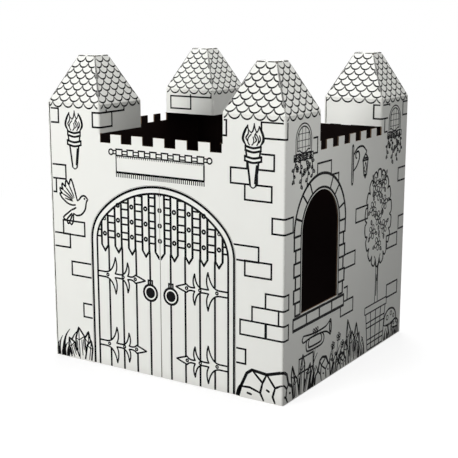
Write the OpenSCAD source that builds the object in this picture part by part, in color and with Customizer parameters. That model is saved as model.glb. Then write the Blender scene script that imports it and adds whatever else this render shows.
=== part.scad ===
// Cardboard play castle: two folded sheets of corrugated board, a pair of door leaves
// cut in the front wall, and black line print on the white outer face.
// Millimetres, +Z up. The origin is on the floor in the middle of the plan. The front faces -Y.

/* [Castle] */
// Width across the front
castle_w = 860; // [780:5:1000]
// Depth from front to back
castle_d = 840; // [780:5:1000]
// Height of the folds under the tower roofs
eave_h = 834; // [790:1:900]
// Rise of the tower roofs above those folds
roof_h = 145; // [110:1:200]

/* [Towers] */
// Side of each square tower
tower_w = 208; // [180:1:225]
// Side of the flat top of each roof
roof_top_w = 66; // [50:1:90]
// Slit between two roof flaps along a hip
hip_slit = 1.2; // [0.6:0.1:3]
// Radius of the relief hole in each top corner of a roof
relief_r = 3.5; // [2:0.5:6]
// Gap around the lid flap in the top of each roof
lid_gap = 1.2; // [0.6:0.1:3]

/* [Board] */
// Thickness of the corrugated board
board_t = 4; // [3:0.5:7]
// Inside radius of an upright fold
fold_in_r = 3; // [1:0.5:6]
// Width of the glued tabs inside the corners
tab_w = 40; // [25:1:60]
// Distance of the tabs from the floor and from the roof folds
tab_trim = 12; // [4:1:30]
// Layer of glue between two thicknesses of board
glue_t = 0.2; // [0.1:0.1:0.5]
// Set-back of a raw edge from the corner where it ends
raw_set = 1; // [0.5:0.5:3]

/* [Battlements] */
// Rise of the tower walls above the battlements
tower_rise = 87; // [60:1:100]
// Number of merlons on each wall
merlon_n = 5; // [3:1:7]
// Height of the notches between the merlons
notch_h = 27; // [15:1:45]

/* [Door] */
// Width of the door opening
door_w = 540; // [480:2:550]
// Height of the wall between the crown of the door and the top of the battlements
lintel_h = 141; // [135:1:180]
// Rise of the arch above its springing
arch_rise = 196; // [170:1:220]
// Radius of the arch at its haunches
haunch_r = 140; // [110:1:160]
// Gap left by the cut round the door
door_gap = 1; // [0.5:0.1:2]
// Width of the slit between the leaves at the top
slit_top = 1; // [0.6:0.1:2]
// Width of the slit between the leaves at the floor
slit_foot = 3; // [1:0.5:6]
// Clearance between the leaves and the floor
leaf_lift = 2; // [1:0.5:5]

/* [Side windows] */
// Width of a side window
window_w = 231; // [180:1:250]
// Height of a side window
window_h = 350; // [300:1:380]
// Height of the wall between the crown of a side window and the top of the battlements
window_drop = 144; // [125:1:180]
// Distance from the middle of the wall to the middle of the window
window_off = 202; // [180:1:215]
// Bare rim between a side window and the print round it
window_rim = 4; // [1.5:0.5:8]

/* [Print] */
// Thickness that the ink is drawn with
ink_t = 0.3; // [0.2:0.05:0.5]
// Width of a bold line
bold_w = 6.6; // [3:0.2:7.6]
// Width of an ordinary line
line_w = 5.6; // [2:0.2:6.4]
// Width of a fine line
fine_w = 3.8; // [1.6:0.2:4.4]
// Distance that print keeps from a cut edge or a crease
ink_edge = 1.5; // [1:0.1:3]
// Length of a printed brick
brick_w = 88; // [70:1:100]
// Height of a course of bricks
course_h = 44.5; // [38:0.5:50]
// Height of the first course above the floor
course_low = 16; // [8:1:30]
// Distance of the top of the highest full course below the roof folds
course_gap = 18; // [14:1:24]
// Width of a roof tile in the lowest row
tile_w = 41.6; // [34:0.4:50]
// Height of a row of tiles up the slope
tile_row = 19; // [15:0.5:24]
// Drop of the lowest row of tiles below the roof fold
tile_drop = 14; // [8:1:18]

/* [Printed door] */
// Width of the band between the two lines of the door arch
band_w = 21; // [14:1:30]
// Distance between two grille bars
picket_pitch = 53; // [46:0.5:58]
// Width of a grille bar
picket_w = 31; // [24:1:36]
// Width of the middle grille bar
picket_mid_w = 40; // [34:1:44]
// Distance of the shoulders of the grille bars below the springing of the arch
picket_drop = 10; // [0:1:30]
// Length of the points of the grille bars
picket_tip = 22; // [14:1:30]
// Height of the lowest cross bar above the springing of the arch
bar_rise = 26; // [18:1:30]
// Distance between two cross bars
bar_pitch = 47; // [42:1:50]
// Height of a cross bar
bar_h = 21; // [14:1:26]
// Outside radius of a bolt head
bolt_r = 6; // [4:0.5:8]
// Distance from the slit to the first plank joint
plank_off = 38.5; // [34:0.5:44]
// Length of a strap hinge
strap_l = 183; // [150:1:190]
// Height of the lower strap hinges
strap_low = 77; // [70:1:100]
// Height of the upper strap hinges
strap_high = 304; // [290:1:310]
// Outside radius of a ring handle
ring_r = 27; // [20:1:30]
// Radius of the black eye of a ring handle
ring_eye_r = 16; // [10:1:18]
// Height of the ring handles
ring_z = 269; // [255:1:275]
// Width of the mount above a ring handle
mount_w = 15; // [10:1:20]

/* [Printed ornaments] */
// Width of the stones round a side window
stone_w = 48; // [40:1:55]
// Length of a wall torch
torch_h = 180; // [150:1:180]
// Distance from the roof folds down to the foot of a wall torch
torch_drop = 204; // [199:1:209]
// Width of the hanging over the door
cloth_w = 322; // [280:1:340]
// Distance from the top of the battlements down to the pole of the hanging
pole_drop = 53; // [50:1:60]
// Length of the hanging below its pole
cloth_drop = 61; // [45:1:66]
// Radius of a knob of the pole
knob_r = 10; // [7:0.5:12]
// Number of rings on the pole
pole_ring_n = 8; // [4:1:10]
// Width of a tower window
lattice_w = 96; // [80:1:104]
// Distance from the roof folds down to the sill of a tower window
lattice_drop = 112; // [108:1:118]
// Height of a tower window
lattice_h = 88; // [76:1:90]

/* [Hidden] */
$fn = 64;

overrun = 5;
wall_h = eave_h - tower_rise;
door_h = wall_h - lintel_h;
window_top = wall_h - window_drop;
window_sill = window_top - window_h;
half_w = castle_w / 2;
half_d = castle_d / 2;
half_tower = tower_w / 2;
half_top = roof_top_w / 2;
fold_r = fold_in_r + board_t;
seam_in = board_t + glue_t;
peak_h = eave_h + roof_h;
roof_run = half_tower - half_top;
lean = atan(roof_run / roof_h);
slant = norm([roof_run, roof_h]);
lid_half = half_top - board_t / cos(lean) - lid_gap;
// Depth below a roof fold that the thickness of the folded flap takes
tuck = board_t * sin(lean) + glue_t;
spring_h = door_h - arch_rise;
spring_w = window_top - window_w / 2;
picket_low = spring_h - picket_drop;
bar_low = spring_h + bar_rise;
torch_z = eave_h - torch_drop;
pole_z = wall_h - pole_drop;
lattice_z = eave_h - lattice_drop;
brick_top = eave_h - tile_drop - fine_w / 2;
ink_in = door_gap + ink_edge;
white = "whitesmoke";
black = "#151515";

// Towers by corner, as signs of x and y
FRONT_LEFT = [-1, -1];
FRONT_RIGHT = [1, -1];
BACK_LEFT = [-1, 1];
BACK_RIGHT = [1, 1];

// Left end of each brick as a share of the wall's length, and its course. Courses from 0 count up from
// the floor. Courses below 0 count down from the roof folds, where the tiles hide most of the first.
front_brick_shares = [
    [-0.053, -2], [-0.026, -6], [-0.074, -7], [0.056, -10], [-0.015, 8], [0.092, 6], [0.143, 3],
    [0.209, -2.15], [0.28, -1.15], [0.674, -2], [0.91, -2], [0.856, -4], [0.793, -5], [0.848, -6], [0.953, -8],
    [0.8, -10], [0.849, 8], [0.93, 6], [0.878, 5], [0.831, 4], [0.93, 4], [0.751, 2]
];
side_brick_shares = [
    [0.118, -3.25], [0.226, -5], [0.286, -6], [0.926, -7], [0.542, -9], [0.944, 8.2], [0.439, 7],
    [0.83, 7], [0.379, 4.6], [0.43, 3.6], [0.848, 3.1], [0.113, 1.2],
    [0.275, -2.15], [0.379, -1.15], [0.717, -2], [0.78, -3], [0.952, -2]
];
back_brick_shares = [
    [0.13, -2], [0.93, -2], [0.3, -5], [0.35, -6], [0.7, -5], [0.06, -7], [0.957, -8], [0.55, -8],
    [0.45, -10], [0.5, 8], [0.82, 8], [0.12, 7], [0.17, 6], [0.66, 5], [0.934, 6], [0.61, 4], [0.934, 4],
    [0.32, 3], [0.04, 2], [0.8, 2]
];

// Height of the lower edge of a course
function course_z(course) =
    course < 0 ? eave_h - course_gap + (course + 1) * course_h : course_low + course * course_h;

// Curve from a to c, drawn towards b
function bend(a, b, c, n = 8) = [
    for (i = [0:n]) let (t = i / n) (1 - t) * (1 - t) * a + 2 * t * (1 - t) * b + t * t * c
];

// Three-centred arch over the origin, from its right foot to its left
function arch(half, rise, haunch, n = 14) =
    let (crown = (half * half - 2 * half * haunch + rise * rise) / (2 * (rise - haunch)))
    let (turn = atan((crown - rise) / (half - haunch)))
    concat(
        [for (i = [0:n]) [half - haunch, 0] + haunch * [cos(turn * i / n), sin(turn * i / n)]],
        [for (i = [1:2 * n - 1]) let (a = turn + (180 - 2 * turn) * i / (2 * n))
            [0, rise - crown] + crown * [cos(a), sin(a)]],
        [for (i = [0:n]) let (a = 180 - turn + turn * i / n)
            [haunch - half, 0] + haunch * [cos(a), sin(a)]]
    );

function unit(v) = v / norm(v);
function across(v) = [-v.y, v.x];
function along(path, i) = unit(path[min(i + 1, len(path) - 1)] - path[max(i - 1, 0)]);

// Line of a pen along a path, with square ends
module pen(path, w) {
    last = len(path) - 1;
    run = [for (i = [0:last])
        path[i] + (i == 0 ? -w / 2 : i == last ? w / 2 : 0) * along(path, i)];
    polygon(concat(
        [for (i = [0:last]) run[i] + across(along(path, i)) * w / 2],
        [for (i = [last:-1:0]) run[i] - across(along(path, i)) * w / 2]
    ));
}

// Rectangle between two corners
module patch(low, high) {
    translate(low) square(high - low);
}

// Outline of a rectangle, with the line centred on its edge
module box_line(low, high, w) {
    inset = [w / 2, w / 2];
    difference() {
        patch(low - inset, high + inset);
        patch(low + inset, high - inset);
    }
}

module ring_line(r, w) {
    difference() {
        circle(r = r);
        circle(r = r - w);
    }
}

// Puts an extruded drawing upright on the side that faces front, right, back or left, for k from 0 to 3
module on_side(k, out) {
    rotate([0, 0, 90 * k]) translate([0, -out, 0]) rotate([90, 0, 0]) children();
}

// Cuts a drawing through the wall on that side
module through(k, out) {
    on_side(k, out - board_t - overrun) linear_extrude(board_t + 2 * overrun) children();
}

// Prints a drawing on the outer face of that side
module print_on(k, out) {
    on_side(k, out) linear_extrude(ink_t) children();
}

module mirrored_pair() {
    children();
    mirror([1, 0]) children();
}

// Quarter of a fold in plan, in the quarter that the signs name
module fold_arc(sx, sy) {
    reach = fold_r + overrun;
    intersection() {
        difference() {
            circle(r = fold_r);
            circle(r = fold_in_r);
        }
        translate([min(sx, 0) * reach, min(sy, 0) * reach]) square(reach);
    }
}

// Door arch, drawn in from the opening by a gap
module door_shape(gap, foot) {
    half = door_w / 2 - gap;
    top = [for (p = arch(half, arch_rise - gap, haunch_r - gap)) p + [0, spring_h]];
    polygon(concat(top, [[-half, foot], [half, foot]]));
}

// Round-headed window, drawn out from the opening by a margin
module window_shape(out) {
    half = window_w / 2 + out;
    translate([0, spring_w]) circle(r = half);
    patch([-half, window_sill - out], [half, spring_w]);
}

// Air above a wall: the notches, and the gap between the towers
module battlement_air(span) {
    half = span / 2 - tower_w;
    step = 2 * half / (2 * merlon_n + 1);
    patch([-half - fold_r, wall_h], [half + fold_r, eave_h + overrun]);
    for (i = [0:merlon_n])
        patch([-half + 2 * i * step, wall_h - notch_h], [-half + (2 * i + 1) * step, wall_h + overrun]);
}

// Joins two stretches of board that meet end to end, inside their thickness
module tongue(middle) {
    translate(middle) square(board_t / 2, center = true);
}

// Walls of one sheet in plan: first wall, folded corner and second wall
module wall_plan() {
    patch([seam_in + fold_r - half_w, -half_d], [half_w - fold_r, board_t - half_d]);
    translate([half_w - fold_r, fold_r - half_d]) fold_arc(1, -1);
    patch([half_w - board_t, fold_r - half_d], [half_w, half_d - raw_set]);
}

// Fold between the first wall and its glue tab in plan
module tab_fold_plan() {
    translate([seam_in + fold_r - half_w, fold_r - half_d]) fold_arc(-1, -1);
    tongue([seam_in + fold_r - half_w, board_t / 2 - half_d]);
}

// Glue tab of the first wall in plan
module tab_plan() {
    patch([seam_in - half_w, fold_r - half_d], [seam_in + board_t - half_w, fold_r + tab_w - half_d]);
    tongue([seam_in + board_t / 2 - half_w, fold_r - half_d]);
}

function inner_stop(tabbed) = tabbed ? tower_w - seam_in - fold_r : tower_w - raw_set;

// Inner wall of a tower in plan, hinged on the right-hand tower of a wall whose outer face is at zero
module inner_wall_plan(span, tabbed) {
    edge = span / 2 - tower_w;
    translate([edge + fold_r, fold_r]) fold_arc(-1, -1);
    patch([edge, fold_r], [edge + board_t, inner_stop(tabbed)]);
    tongue([edge + fold_r, board_t / 2]);
}

// Glue tab at the end of that inner wall, with its fold
module inner_tab_plan(span) {
    edge = span / 2 - tower_w;
    stop = inner_stop(true);
    translate([edge + fold_r, stop]) fold_arc(-1, 1);
    patch([edge + fold_r, stop + fold_in_r], [edge + fold_r + tab_w, stop + fold_r]);
    tongue([edge + board_t / 2, stop]);
}

// Inner walls of both towers of a wall. The tabs end where the folded roof flaps need the room.
module inner_walls(k, out, span, tabbed) {
    rotate([0, 0, 90 * k]) translate([0, -out, wall_h]) {
        linear_extrude(tower_rise) mirrored_pair() inner_wall_plan(span, tabbed);
        if (tabbed)
            linear_extrude(tower_rise - tuck) mirrored_pair() inner_tab_plan(span);
    }
}

// Moves to the middle of a tower and turns one of its four sides to the front
module at_tower(corner, k) {
    translate([corner.x * (half_w - half_tower), corner.y * (half_d - half_tower), 0])
        rotate([0, 0, 90 * k]) children();
}

// Quarter of a tower in plan, cut back for the slits and the rounded folds
module roof_quarter() {
    slit = hip_slit / sqrt(2);
    cut = 2 * (half_tower - fold_r) + sqrt(2) * fold_r;
    reach = half_tower + overrun;
    polygon([
        [0, -slit], [(cut - slit) / 2, -(cut + slit) / 2], [cut - reach, -reach],
        [reach - cut, -reach], [(slit - cut) / 2, -(cut + slit) / 2]
    ]);
}

// Stretch of a roof fold in plan where the flap bends out of its own wall
module flap_foot() {
    half = half_tower - fold_r - seam_in;
    patch([-half, -half_tower - overrun], [half, -half]);
}

// Roof flap of the tower side that faces front, with the lid flap of the roof if it carries one
module roof_flap(has_lid) {
    relief_l = 4 * relief_r;
    difference() {
        union() {
            intersection() {
                translate([0, -half_tower, eave_h]) rotate([-lean, 0, 0])
                    translate([-half_tower, 0, 0]) cube([tower_w, board_t, slant]);
                union() {
                    translate([0, 0, eave_h]) linear_extrude(roof_h + overrun) roof_quarter();
                    translate([0, 0, eave_h - board_t]) linear_extrude(board_t + overrun) flap_foot();
                }
            }
            if (has_lid)
                translate([-lid_half, board_t / 2 - half_top, peak_h - board_t])
                    cube([2 * lid_half, half_top - board_t / 2 + lid_half, board_t]);
        }
        for (side = [-1, 1])
            translate([side * half_top, -half_top, peak_h - relief_l])
                cylinder(r = relief_r, h = relief_l + overrun);
    }
}

// One folded sheet: the wall that faces front and the wall that faces right
module folded_sheet(has_door, lid_side) {
    difference() {
        linear_extrude(eave_h) wall_plan();
        through(0, half_d) battlement_air(castle_w);
        through(1, half_w) battlement_air(castle_d);
        through(1, half_w) translate([-window_off, 0]) window_shape(0);
        if (has_door)
            through(0, half_d) door_shape(0, -overrun);
    }
    linear_extrude(eave_h - tuck) tab_fold_plan();
    translate([0, 0, tab_trim]) linear_extrude(eave_h - 2 * tab_trim) tab_plan();
    inner_walls(0, half_d, castle_w, false);
    inner_walls(1, half_w, castle_d, true);
    for (k = [0:3])
        at_tower(FRONT_RIGHT, k) roof_flap(k == lid_side);
    for (corner = [FRONT_LEFT, BACK_RIGHT])
        for (k = [0, 1])
            at_tower(corner, k) roof_flap(k == lid_side);
}

module front_right_sheet() {
    color(white) folded_sheet(true, 2);
}

module back_left_sheet() {
    color(white) rotate([0, 0, 180]) folded_sheet(false, 0);
}

// Right half of the door, seen from outside
module leaf_shape(gap, foot) {
    intersection() {
        door_shape(gap, foot);
        polygon([
            [slit_top / 2 + gap - door_gap, door_h], [slit_foot / 2 + gap - door_gap, 0],
            [door_w, 0], [door_w, door_h]
        ]);
    }
}

module right_door_leaf() {
    color(white) on_side(0, half_d - board_t) linear_extrude(board_t) leaf_shape(door_gap, leaf_lift);
}

module left_door_leaf() {
    mirror([1, 0, 0]) right_door_leaf();
}

// Bricks of a wall, from a table of shares
module bricks(shares, span) {
    for (brick = shares) {
        low = [brick[0] * span - span / 2, course_z(brick[1])];
        box_line(low, low + [brick_w, course_h], line_w);
    }
}

// Bricks of the first wall that go on round the folded corner, drawn on the second wall
module wrapped_bricks(shares, span, next_span) {
    for (brick = shares) {
        low = [(brick[0] - 1) * span - next_span / 2, course_z(brick[1])];
        if (low.x + brick_w > -next_span / 2)
            box_line(low, low + [brick_w, course_h], line_w);
    }
}

// Part of a wall's outer face that takes print
module wall_face(span, left_in, right_in) {
    half = span / 2 - tower_w + fold_r;
    difference() {
        patch([left_in - span / 2, ink_edge], [span / 2 - right_in, brick_top]);
        patch([-half, wall_h - notch_h - ink_edge], [half, eave_h]);
    }
}

// Ink that follows a fold, in the quarter that the signs name
module ink_arc(sx, sy) {
    reach = fold_r + overrun;
    intersection() {
        difference() {
            circle(r = fold_r + ink_t);
            circle(r = fold_r);
        }
        translate([min(sx, 0) * reach, min(sy, 0) * reach]) square(reach);
    }
}

// Upper and lower line of a brick where it goes round a fold
module brick_bands(course) {
    low = course_z(course) - line_w / 2;
    for (z = [low, low + course_h])
        if (z + line_w < brick_top)
            translate([0, 0, z]) linear_extrude(line_w) children();
}

// Bricks that go round the folds of a wall, on the folds and on the towers' inner walls
module fold_print(k, out, span, shares, folded_end) {
    edge = span / 2 - tower_w;
    rotate([0, 0, 90 * k]) translate([0, -out, 0]) {
        for (brick = shares) {
            low = brick[0] * span - span / 2;
            high = low + brick_w;
            if (folded_end && low < span / 2 && high > span / 2)
                brick_bands(brick[1]) translate([span / 2 - fold_r, fold_r]) ink_arc(1, -1);
            for (side = [-1, 1])
                if (low < side * edge && high > side * edge && course_z(brick[1]) > wall_h)
                    brick_bands(brick[1]) translate([side * (edge + fold_r), fold_r]) ink_arc(-side, -1);
        }
        for (flip = [0, 1])
            mirror([flip, 0, 0]) translate([-edge, 0, 0]) rotate([90, 0, 90]) linear_extrude(ink_t)
                intersection() {
                    translate([edge, 0]) mirror([flip, 0]) bricks(shares, span);
                    patch([fold_r, wall_h + ink_edge], [tower_w - fold_r, brick_top]);
                }
    }
}

// Wall torch with its foot at the origin, in shares of its length
torch_line_shares = [
    [[-0.05, 0.03], [-0.1, 0.4]], [[0.05, 0.03], [0.1, 0.4]],
    [[-0.12, 0.5], [-0.13, 0.57]], [[0.12, 0.5], [0.13, 0.57]]
];
flame_bend_shares = [
    [[-0.05, 0.03], [0, -0.04], [0.05, 0.03]],
    [[-0.13, 0.66], [-0.25, 0.78], [-0.1, 0.97]], [[-0.1, 0.97], [-0.1, 0.89], [-0.03, 0.86]],
    [[-0.03, 0.86], [0.02, 0.92], [0.02, 1]], [[0.02, 1], [0.03, 0.9], [0.07, 0.87]],
    [[0.07, 0.87], [0.1, 0.91], [0.11, 0.96]], [[0.11, 0.96], [0.25, 0.77], [0.13, 0.66]],
    [[-0.07, 0.67], [-0.14, 0.75], [-0.04, 0.83]], [[0.07, 0.67], [0.13, 0.75], [0.05, 0.84]],
    [[-0.02, 0.67], [0.03, 0.71], [0, 0.79]]
];
// Half width, lower end and upper end of each collar
collar_shares = [[0.15, 0.42, 0.49], [0.14, 0.585, 0.65]];
collar_sag_share = 0.03;
torch_edge_shares = [
    [-0.05, 0], [0.05, 0], [0.1, 0.4], [0.15, 0.41], [0.14, 0.66], [0.19, 0.77], [0.11, 0.95],
    [-0.1, 0.96], [-0.19, 0.77], [-0.14, 0.66], [-0.15, 0.41], [-0.1, 0.4]
];

module torch() {
    for (line = torch_line_shares)
        pen(line * torch_h, line_w);
    for (curve = flame_bend_shares)
        pen(bend(curve[0] * torch_h, curve[1] * torch_h, curve[2] * torch_h), fine_w);
    for (c = collar_shares) {
        for (z = [c[1], c[2]])
            pen(bend([-c[0], z] * torch_h, [0, z - 2 * collar_sag_share] * torch_h, [c[0], z] * torch_h), line_w);
        for (side = [-1, 1])
            pen([[side * c[0], c[1]] * torch_h, [side * c[0], c[2]] * torch_h], line_w);
    }
}

module torch_back() {
    polygon(torch_edge_shares * torch_h);
}

// Places a drawing on the outer face of both towers of a wall
module on_towers(span, z) {
    for (side = [-1, 1])
        translate([side * (span / 2 - half_tower), z]) children();
}

// Fringed cloth that hangs from a pole by square rings
pole_half_share = 0.04;
ring_half_share = 0.037;
fringe_share = 0.2;
fringe_n = 44;

module cloth_hanging() {
    pole_half = cloth_w / 2 + pole_half_share * cloth_w;
    ring_half = ring_half_share * cloth_w;
    hem = pole_z - cloth_drop;
    fringe = fringe_share * cloth_drop;
    step = (cloth_w - 2 * ring_half) / (pole_ring_n - 1);
    difference() {
        for (side = [-1, 1])
            patch([-pole_half, pole_z + side * knob_r / 2 - fine_w / 2],
                [pole_half, pole_z + side * knob_r / 2 + fine_w / 2]);
        for (i = [0:pole_ring_n - 1])
            translate([i * step - (cloth_w / 2 - ring_half), pole_z])
                patch([-ring_half, -knob_r], [ring_half, knob_r]);
    }
    for (i = [0:pole_ring_n - 1])
        translate([i * step - (cloth_w / 2 - ring_half), pole_z])
            box_line([-ring_half, -knob_r], [ring_half, knob_r], fine_w);
    for (side = [-1, 1])
        translate([side * (pole_half + knob_r - fine_w), pole_z]) ring_line(knob_r, fine_w);
    for (side = [-1, 1])
        patch([side * cloth_w / 2 - fine_w / 2, hem], [side * cloth_w / 2 + fine_w / 2, pole_z - knob_r]);
    patch([-cloth_w / 2 - fine_w / 2, hem - fine_w / 2], [cloth_w / 2 + fine_w / 2, hem + fine_w / 2]);
    for (i = [0:fringe_n])
        translate([(i / fringe_n - 0.5) * cloth_w, hem])
            patch([-fine_w / 3, -fringe], [fine_w / 3, fringe / 4]);
}

module front_print() {
    color(black) {
        print_on(0, half_d) {
            intersection() {
                difference() {
                    bricks(front_brick_shares, castle_w);
                    door_shape(-ink_edge, -overrun);
                    on_towers(castle_w, torch_z) torch_back();
                }
                wall_face(castle_w, seam_in + fold_r, fold_r);
            }
            on_towers(castle_w, torch_z) torch();
            cloth_hanging();
        }
        fold_print(0, half_d, castle_w, front_brick_shares, true);
    }
}

// Joints of the window arch, in degrees from its crown
stone_turns = [27, 45, 71, 90];
// Widths of the stones beside the window, as shares of the full one
jamb_shares = [0.8, 1];
jamb_n = 6;
sill_n = 4;

// Stones round a side window
module window_stones() {
    half = window_w / 2;
    jamb_h = (spring_w - window_sill) / jamb_n;
    intersection() {
        translate([0, spring_w]) {
            ring_line(half + stone_w + bold_w / 2, bold_w);
            ring_line(half + window_rim + line_w, line_w);
            for (turn = stone_turns)
                for (side = [-1, 1])
                    rotate(side * turn)
                        patch([-line_w / 2, half + window_rim], [line_w / 2, half + stone_w]);
        }
        patch([-castle_d, spring_w - line_w / 2], [castle_d, eave_h]);
    }
    for (side = [0, 1])
        mirror([side, 0])
            for (i = [0:jamb_n - 1])
                box_line([half + window_rim + line_w / 2, window_sill + i * jamb_h],
                    [half + stone_w * jamb_shares[i % 2], window_sill + (i + 1) * jamb_h], line_w);
    sill_half = half + stone_w;
    for (i = [0:sill_n - 1])
        box_line([-sill_half + 2 * sill_half * i / sill_n, window_sill - course_h],
            [-sill_half + 2 * sill_half * (i + 1) / sill_n, window_sill - window_rim - line_w / 2], line_w);
}

module window_stones_back() {
    half = window_w / 2 + stone_w;
    translate([0, spring_w]) circle(r = half);
    patch([-half, window_sill - course_h], [half, spring_w]);
}

// Small window with crossed bars and a flower box, drawn on a tower
module lattice_shape(inset) {
    half = lattice_w / 2 - inset;
    translate([0, lattice_h - lattice_w / 2]) circle(r = half);
    patch([-half, inset], [half, lattice_h - lattice_w / 2]);
}

lattice_rim_share = 0.09;
lattice_bar_n = 5;
flower_box_share = 0.2;

module lattice_window() {
    rim = lattice_rim_share * lattice_w;
    step = lattice_w / lattice_bar_n;
    difference() {
        lattice_shape(0);
        lattice_shape(fine_w);
    }
    difference() {
        lattice_shape(rim);
        lattice_shape(rim + fine_w);
    }
    intersection() {
        lattice_shape(rim + fine_w / 2);
        union() {
            for (i = [1:lattice_bar_n - 1])
                translate([i * step - lattice_w / 2, 0]) patch([-fine_w / 4, 0], [fine_w / 4, lattice_h]);
            for (i = [1:lattice_bar_n - 1])
                translate([-lattice_w / 2, i * step]) patch([0, -fine_w / 4], [lattice_w, fine_w / 4]);
        }
    }
    box_line([-lattice_w / 2 - rim, -flower_box_share * lattice_h], [lattice_w / 2 + rim, 0], fine_w);
}

module lattice_back() {
    rim = lattice_rim_share * lattice_w;
    patch([-lattice_w / 2 - rim, -flower_box_share * lattice_h], [lattice_w / 2 + rim, lattice_h]);
}

// Print of a wall with a window, and of the bricks that reach it round the folded corner
module side_print(k, first_shares) {
    print_on(k, half_w) {
        intersection() {
            difference() {
                union() {
                    bricks(side_brick_shares, castle_d);
                    wrapped_bricks(first_shares, castle_w, castle_d);
                }
                translate([-window_off, 0]) window_stones_back();
                on_towers(castle_d, lattice_z) lattice_back();
            }
            wall_face(castle_d, fold_r, raw_set + ink_edge);
        }
        translate([-window_off, 0]) window_stones();
        on_towers(castle_d, lattice_z) lattice_window();
    }
    fold_print(k, half_w, castle_d, side_brick_shares, false);
}

module right_print() {
    color(black) side_print(1, front_brick_shares);
}

module left_print() {
    color(black) side_print(3, back_brick_shares);
}

module back_print() {
    color(black) {
        print_on(2, half_d) intersection() {
            bricks(back_brick_shares, castle_w);
            wall_face(castle_w, seam_in + fold_r, fold_r);
        }
        fold_print(2, half_d, castle_w, back_brick_shares, true);
    }
}

// Upper edge of a strap hinge from its root to its tip, in shares of its length
strap_bend_shares = [
    [[0, 0.045], [0.08, 0.045], [0.16, 0.045]], [[0.16, 0.045], [0.32, 0.06], [0.37, 0.32]],
    [[0.37, 0.32], [0.43, 0.14], [0.36, 0.035]], [[0.36, 0.035], [0.43, 0.03], [0.5, 0.035]],
    [[0.5, 0.035], [0.61, 0.06], [0.63, 0.26]], [[0.63, 0.26], [0.69, 0.12], [0.63, 0.03]],
    [[0.63, 0.03], [0.66, 0.025], [0.7, 0.025]], [[0.7, 0.025], [0.76, 0.03], [0.79, 0.07]],
    [[0.79, 0.07], [0.9, 0.04], [1, 0]]
];
strap_bolt_shares = [0.2, 0.53, 0.79];
strap_bolt_r_share = 0.03;

module strap_lines() {
    for (side = [0, 1])
        mirror([0, side])
            for (curve = strap_bend_shares)
                pen(bend(curve[0] * strap_l, curve[1] * strap_l, curve[2] * strap_l), fine_w);
    for (place = strap_bolt_shares)
        translate([place * strap_l, 0]) ring_line(strap_bolt_r_share * strap_l, fine_w);
}

module strap_shape() {
    upper = [for (curve = strap_bend_shares)
        for (p = bend(curve[0] * strap_l, curve[1] * strap_l, curve[2] * strap_l)) p];
    for (side = [0, 1])
        mirror([0, side]) polygon(concat([[0, 0]], upper));
}

// Places a drawing at the roots of both strap hinges of the right leaf
module at_straps() {
    root = door_w / 2 - ink_in - band_w - line_w;
    for (z = [strap_low, strap_high])
        translate([root, z]) mirror([1, 0]) children();
}

function picket_half(i) = (i == 0 ? picket_mid_w : picket_w) / 2;

module picket(i, inset) {
    half = picket_half(i) - inset;
    tip = picket_tip * half / picket_half(i);
    polygon([[-half, door_h], [-half, picket_low], [0, picket_low - tip], [half, picket_low], [half, door_h]]);
}

picket_n = 5;
bar_n = 4;
mount_share = 0.8;

module pickets() {
    for (i = [0:picket_n - 1])
        translate([i * picket_pitch, 0]) picket(i, 0);
}

// Ring handle and its mount, filled in
module ring_back() {
    circle(r = ring_r);
    patch([-mount_w / 2, 0], [mount_w / 2, ring_r + mount_share * mount_w]);
}

// Grille, planks, strap hinges and ring handle of the right leaf
module leaf_art() {
    grille_in = ink_in + band_w + line_w / 2;
    foot = leaf_lift + ink_edge;
    difference() {
        door_shape(ink_in, foot);
        door_shape(ink_in + bold_w, foot - overrun);
    }
    difference() {
        door_shape(ink_in + band_w, foot);
        door_shape(ink_in + band_w + line_w, foot - overrun);
    }
    intersection() {
        door_shape(grille_in, foot);
        union() {
            for (i = [0:picket_n - 1])
                translate([i * picket_pitch, 0]) difference() {
                    picket(i, 0);
                    picket(i, bold_w);
                }
            difference() {
                for (row = [0:bar_n - 1])
                    for (side = [-1, 1])
                        translate([0, bar_low + row * bar_pitch + side * bar_h / 2])
                            patch([0, -line_w / 2], [door_w / 2, line_w / 2]);
                pickets();
            }
            for (i = [0:picket_n - 1])
                for (row = [0:bar_n - 1])
                    translate([i * picket_pitch, bar_low + row * bar_pitch]) ring_line(bolt_r, fine_w);
            difference() {
                for (i = [0:picket_n - 2])
                    translate([plank_off + i * picket_pitch, 0])
                        patch([-line_w / 2, 0], [line_w / 2, picket_low]);
                pickets();
                at_straps() strap_shape();
                translate([plank_off, ring_z]) ring_back();
            }
        }
    }
    at_straps() strap_lines();
    translate([plank_off, ring_z]) {
        ring_line(ring_r, line_w);
        circle(r = ring_eye_r);
        box_line([-mount_w / 2, ring_r - line_w / 2], [mount_w / 2, ring_r + mount_share * mount_w], line_w);
    }
}

module right_leaf_print() {
    color(black) print_on(0, half_d) intersection() {
        leaf_art();
        leaf_shape(ink_in, leaf_lift + ink_edge);
    }
}

module left_leaf_print() {
    mirror([1, 0, 0]) right_leaf_print();
}

// Share by which each row of tiles is narrower than the lowest one
tile_shrink_share = 0.024;
// Width of the line at the sides of a tile, and what it gains at the round end, as shares of a fine line
tile_side_share = 0.7;
tile_swell_share = 0.6;
tile_row_n = 9;

// Outline of a round-ended tile of that width, about the middle of its arc
module tile_shape(w) {
    circle(d = w);
    patch([-w / 2, 0], [w / 2, tile_row]);
}

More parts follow.
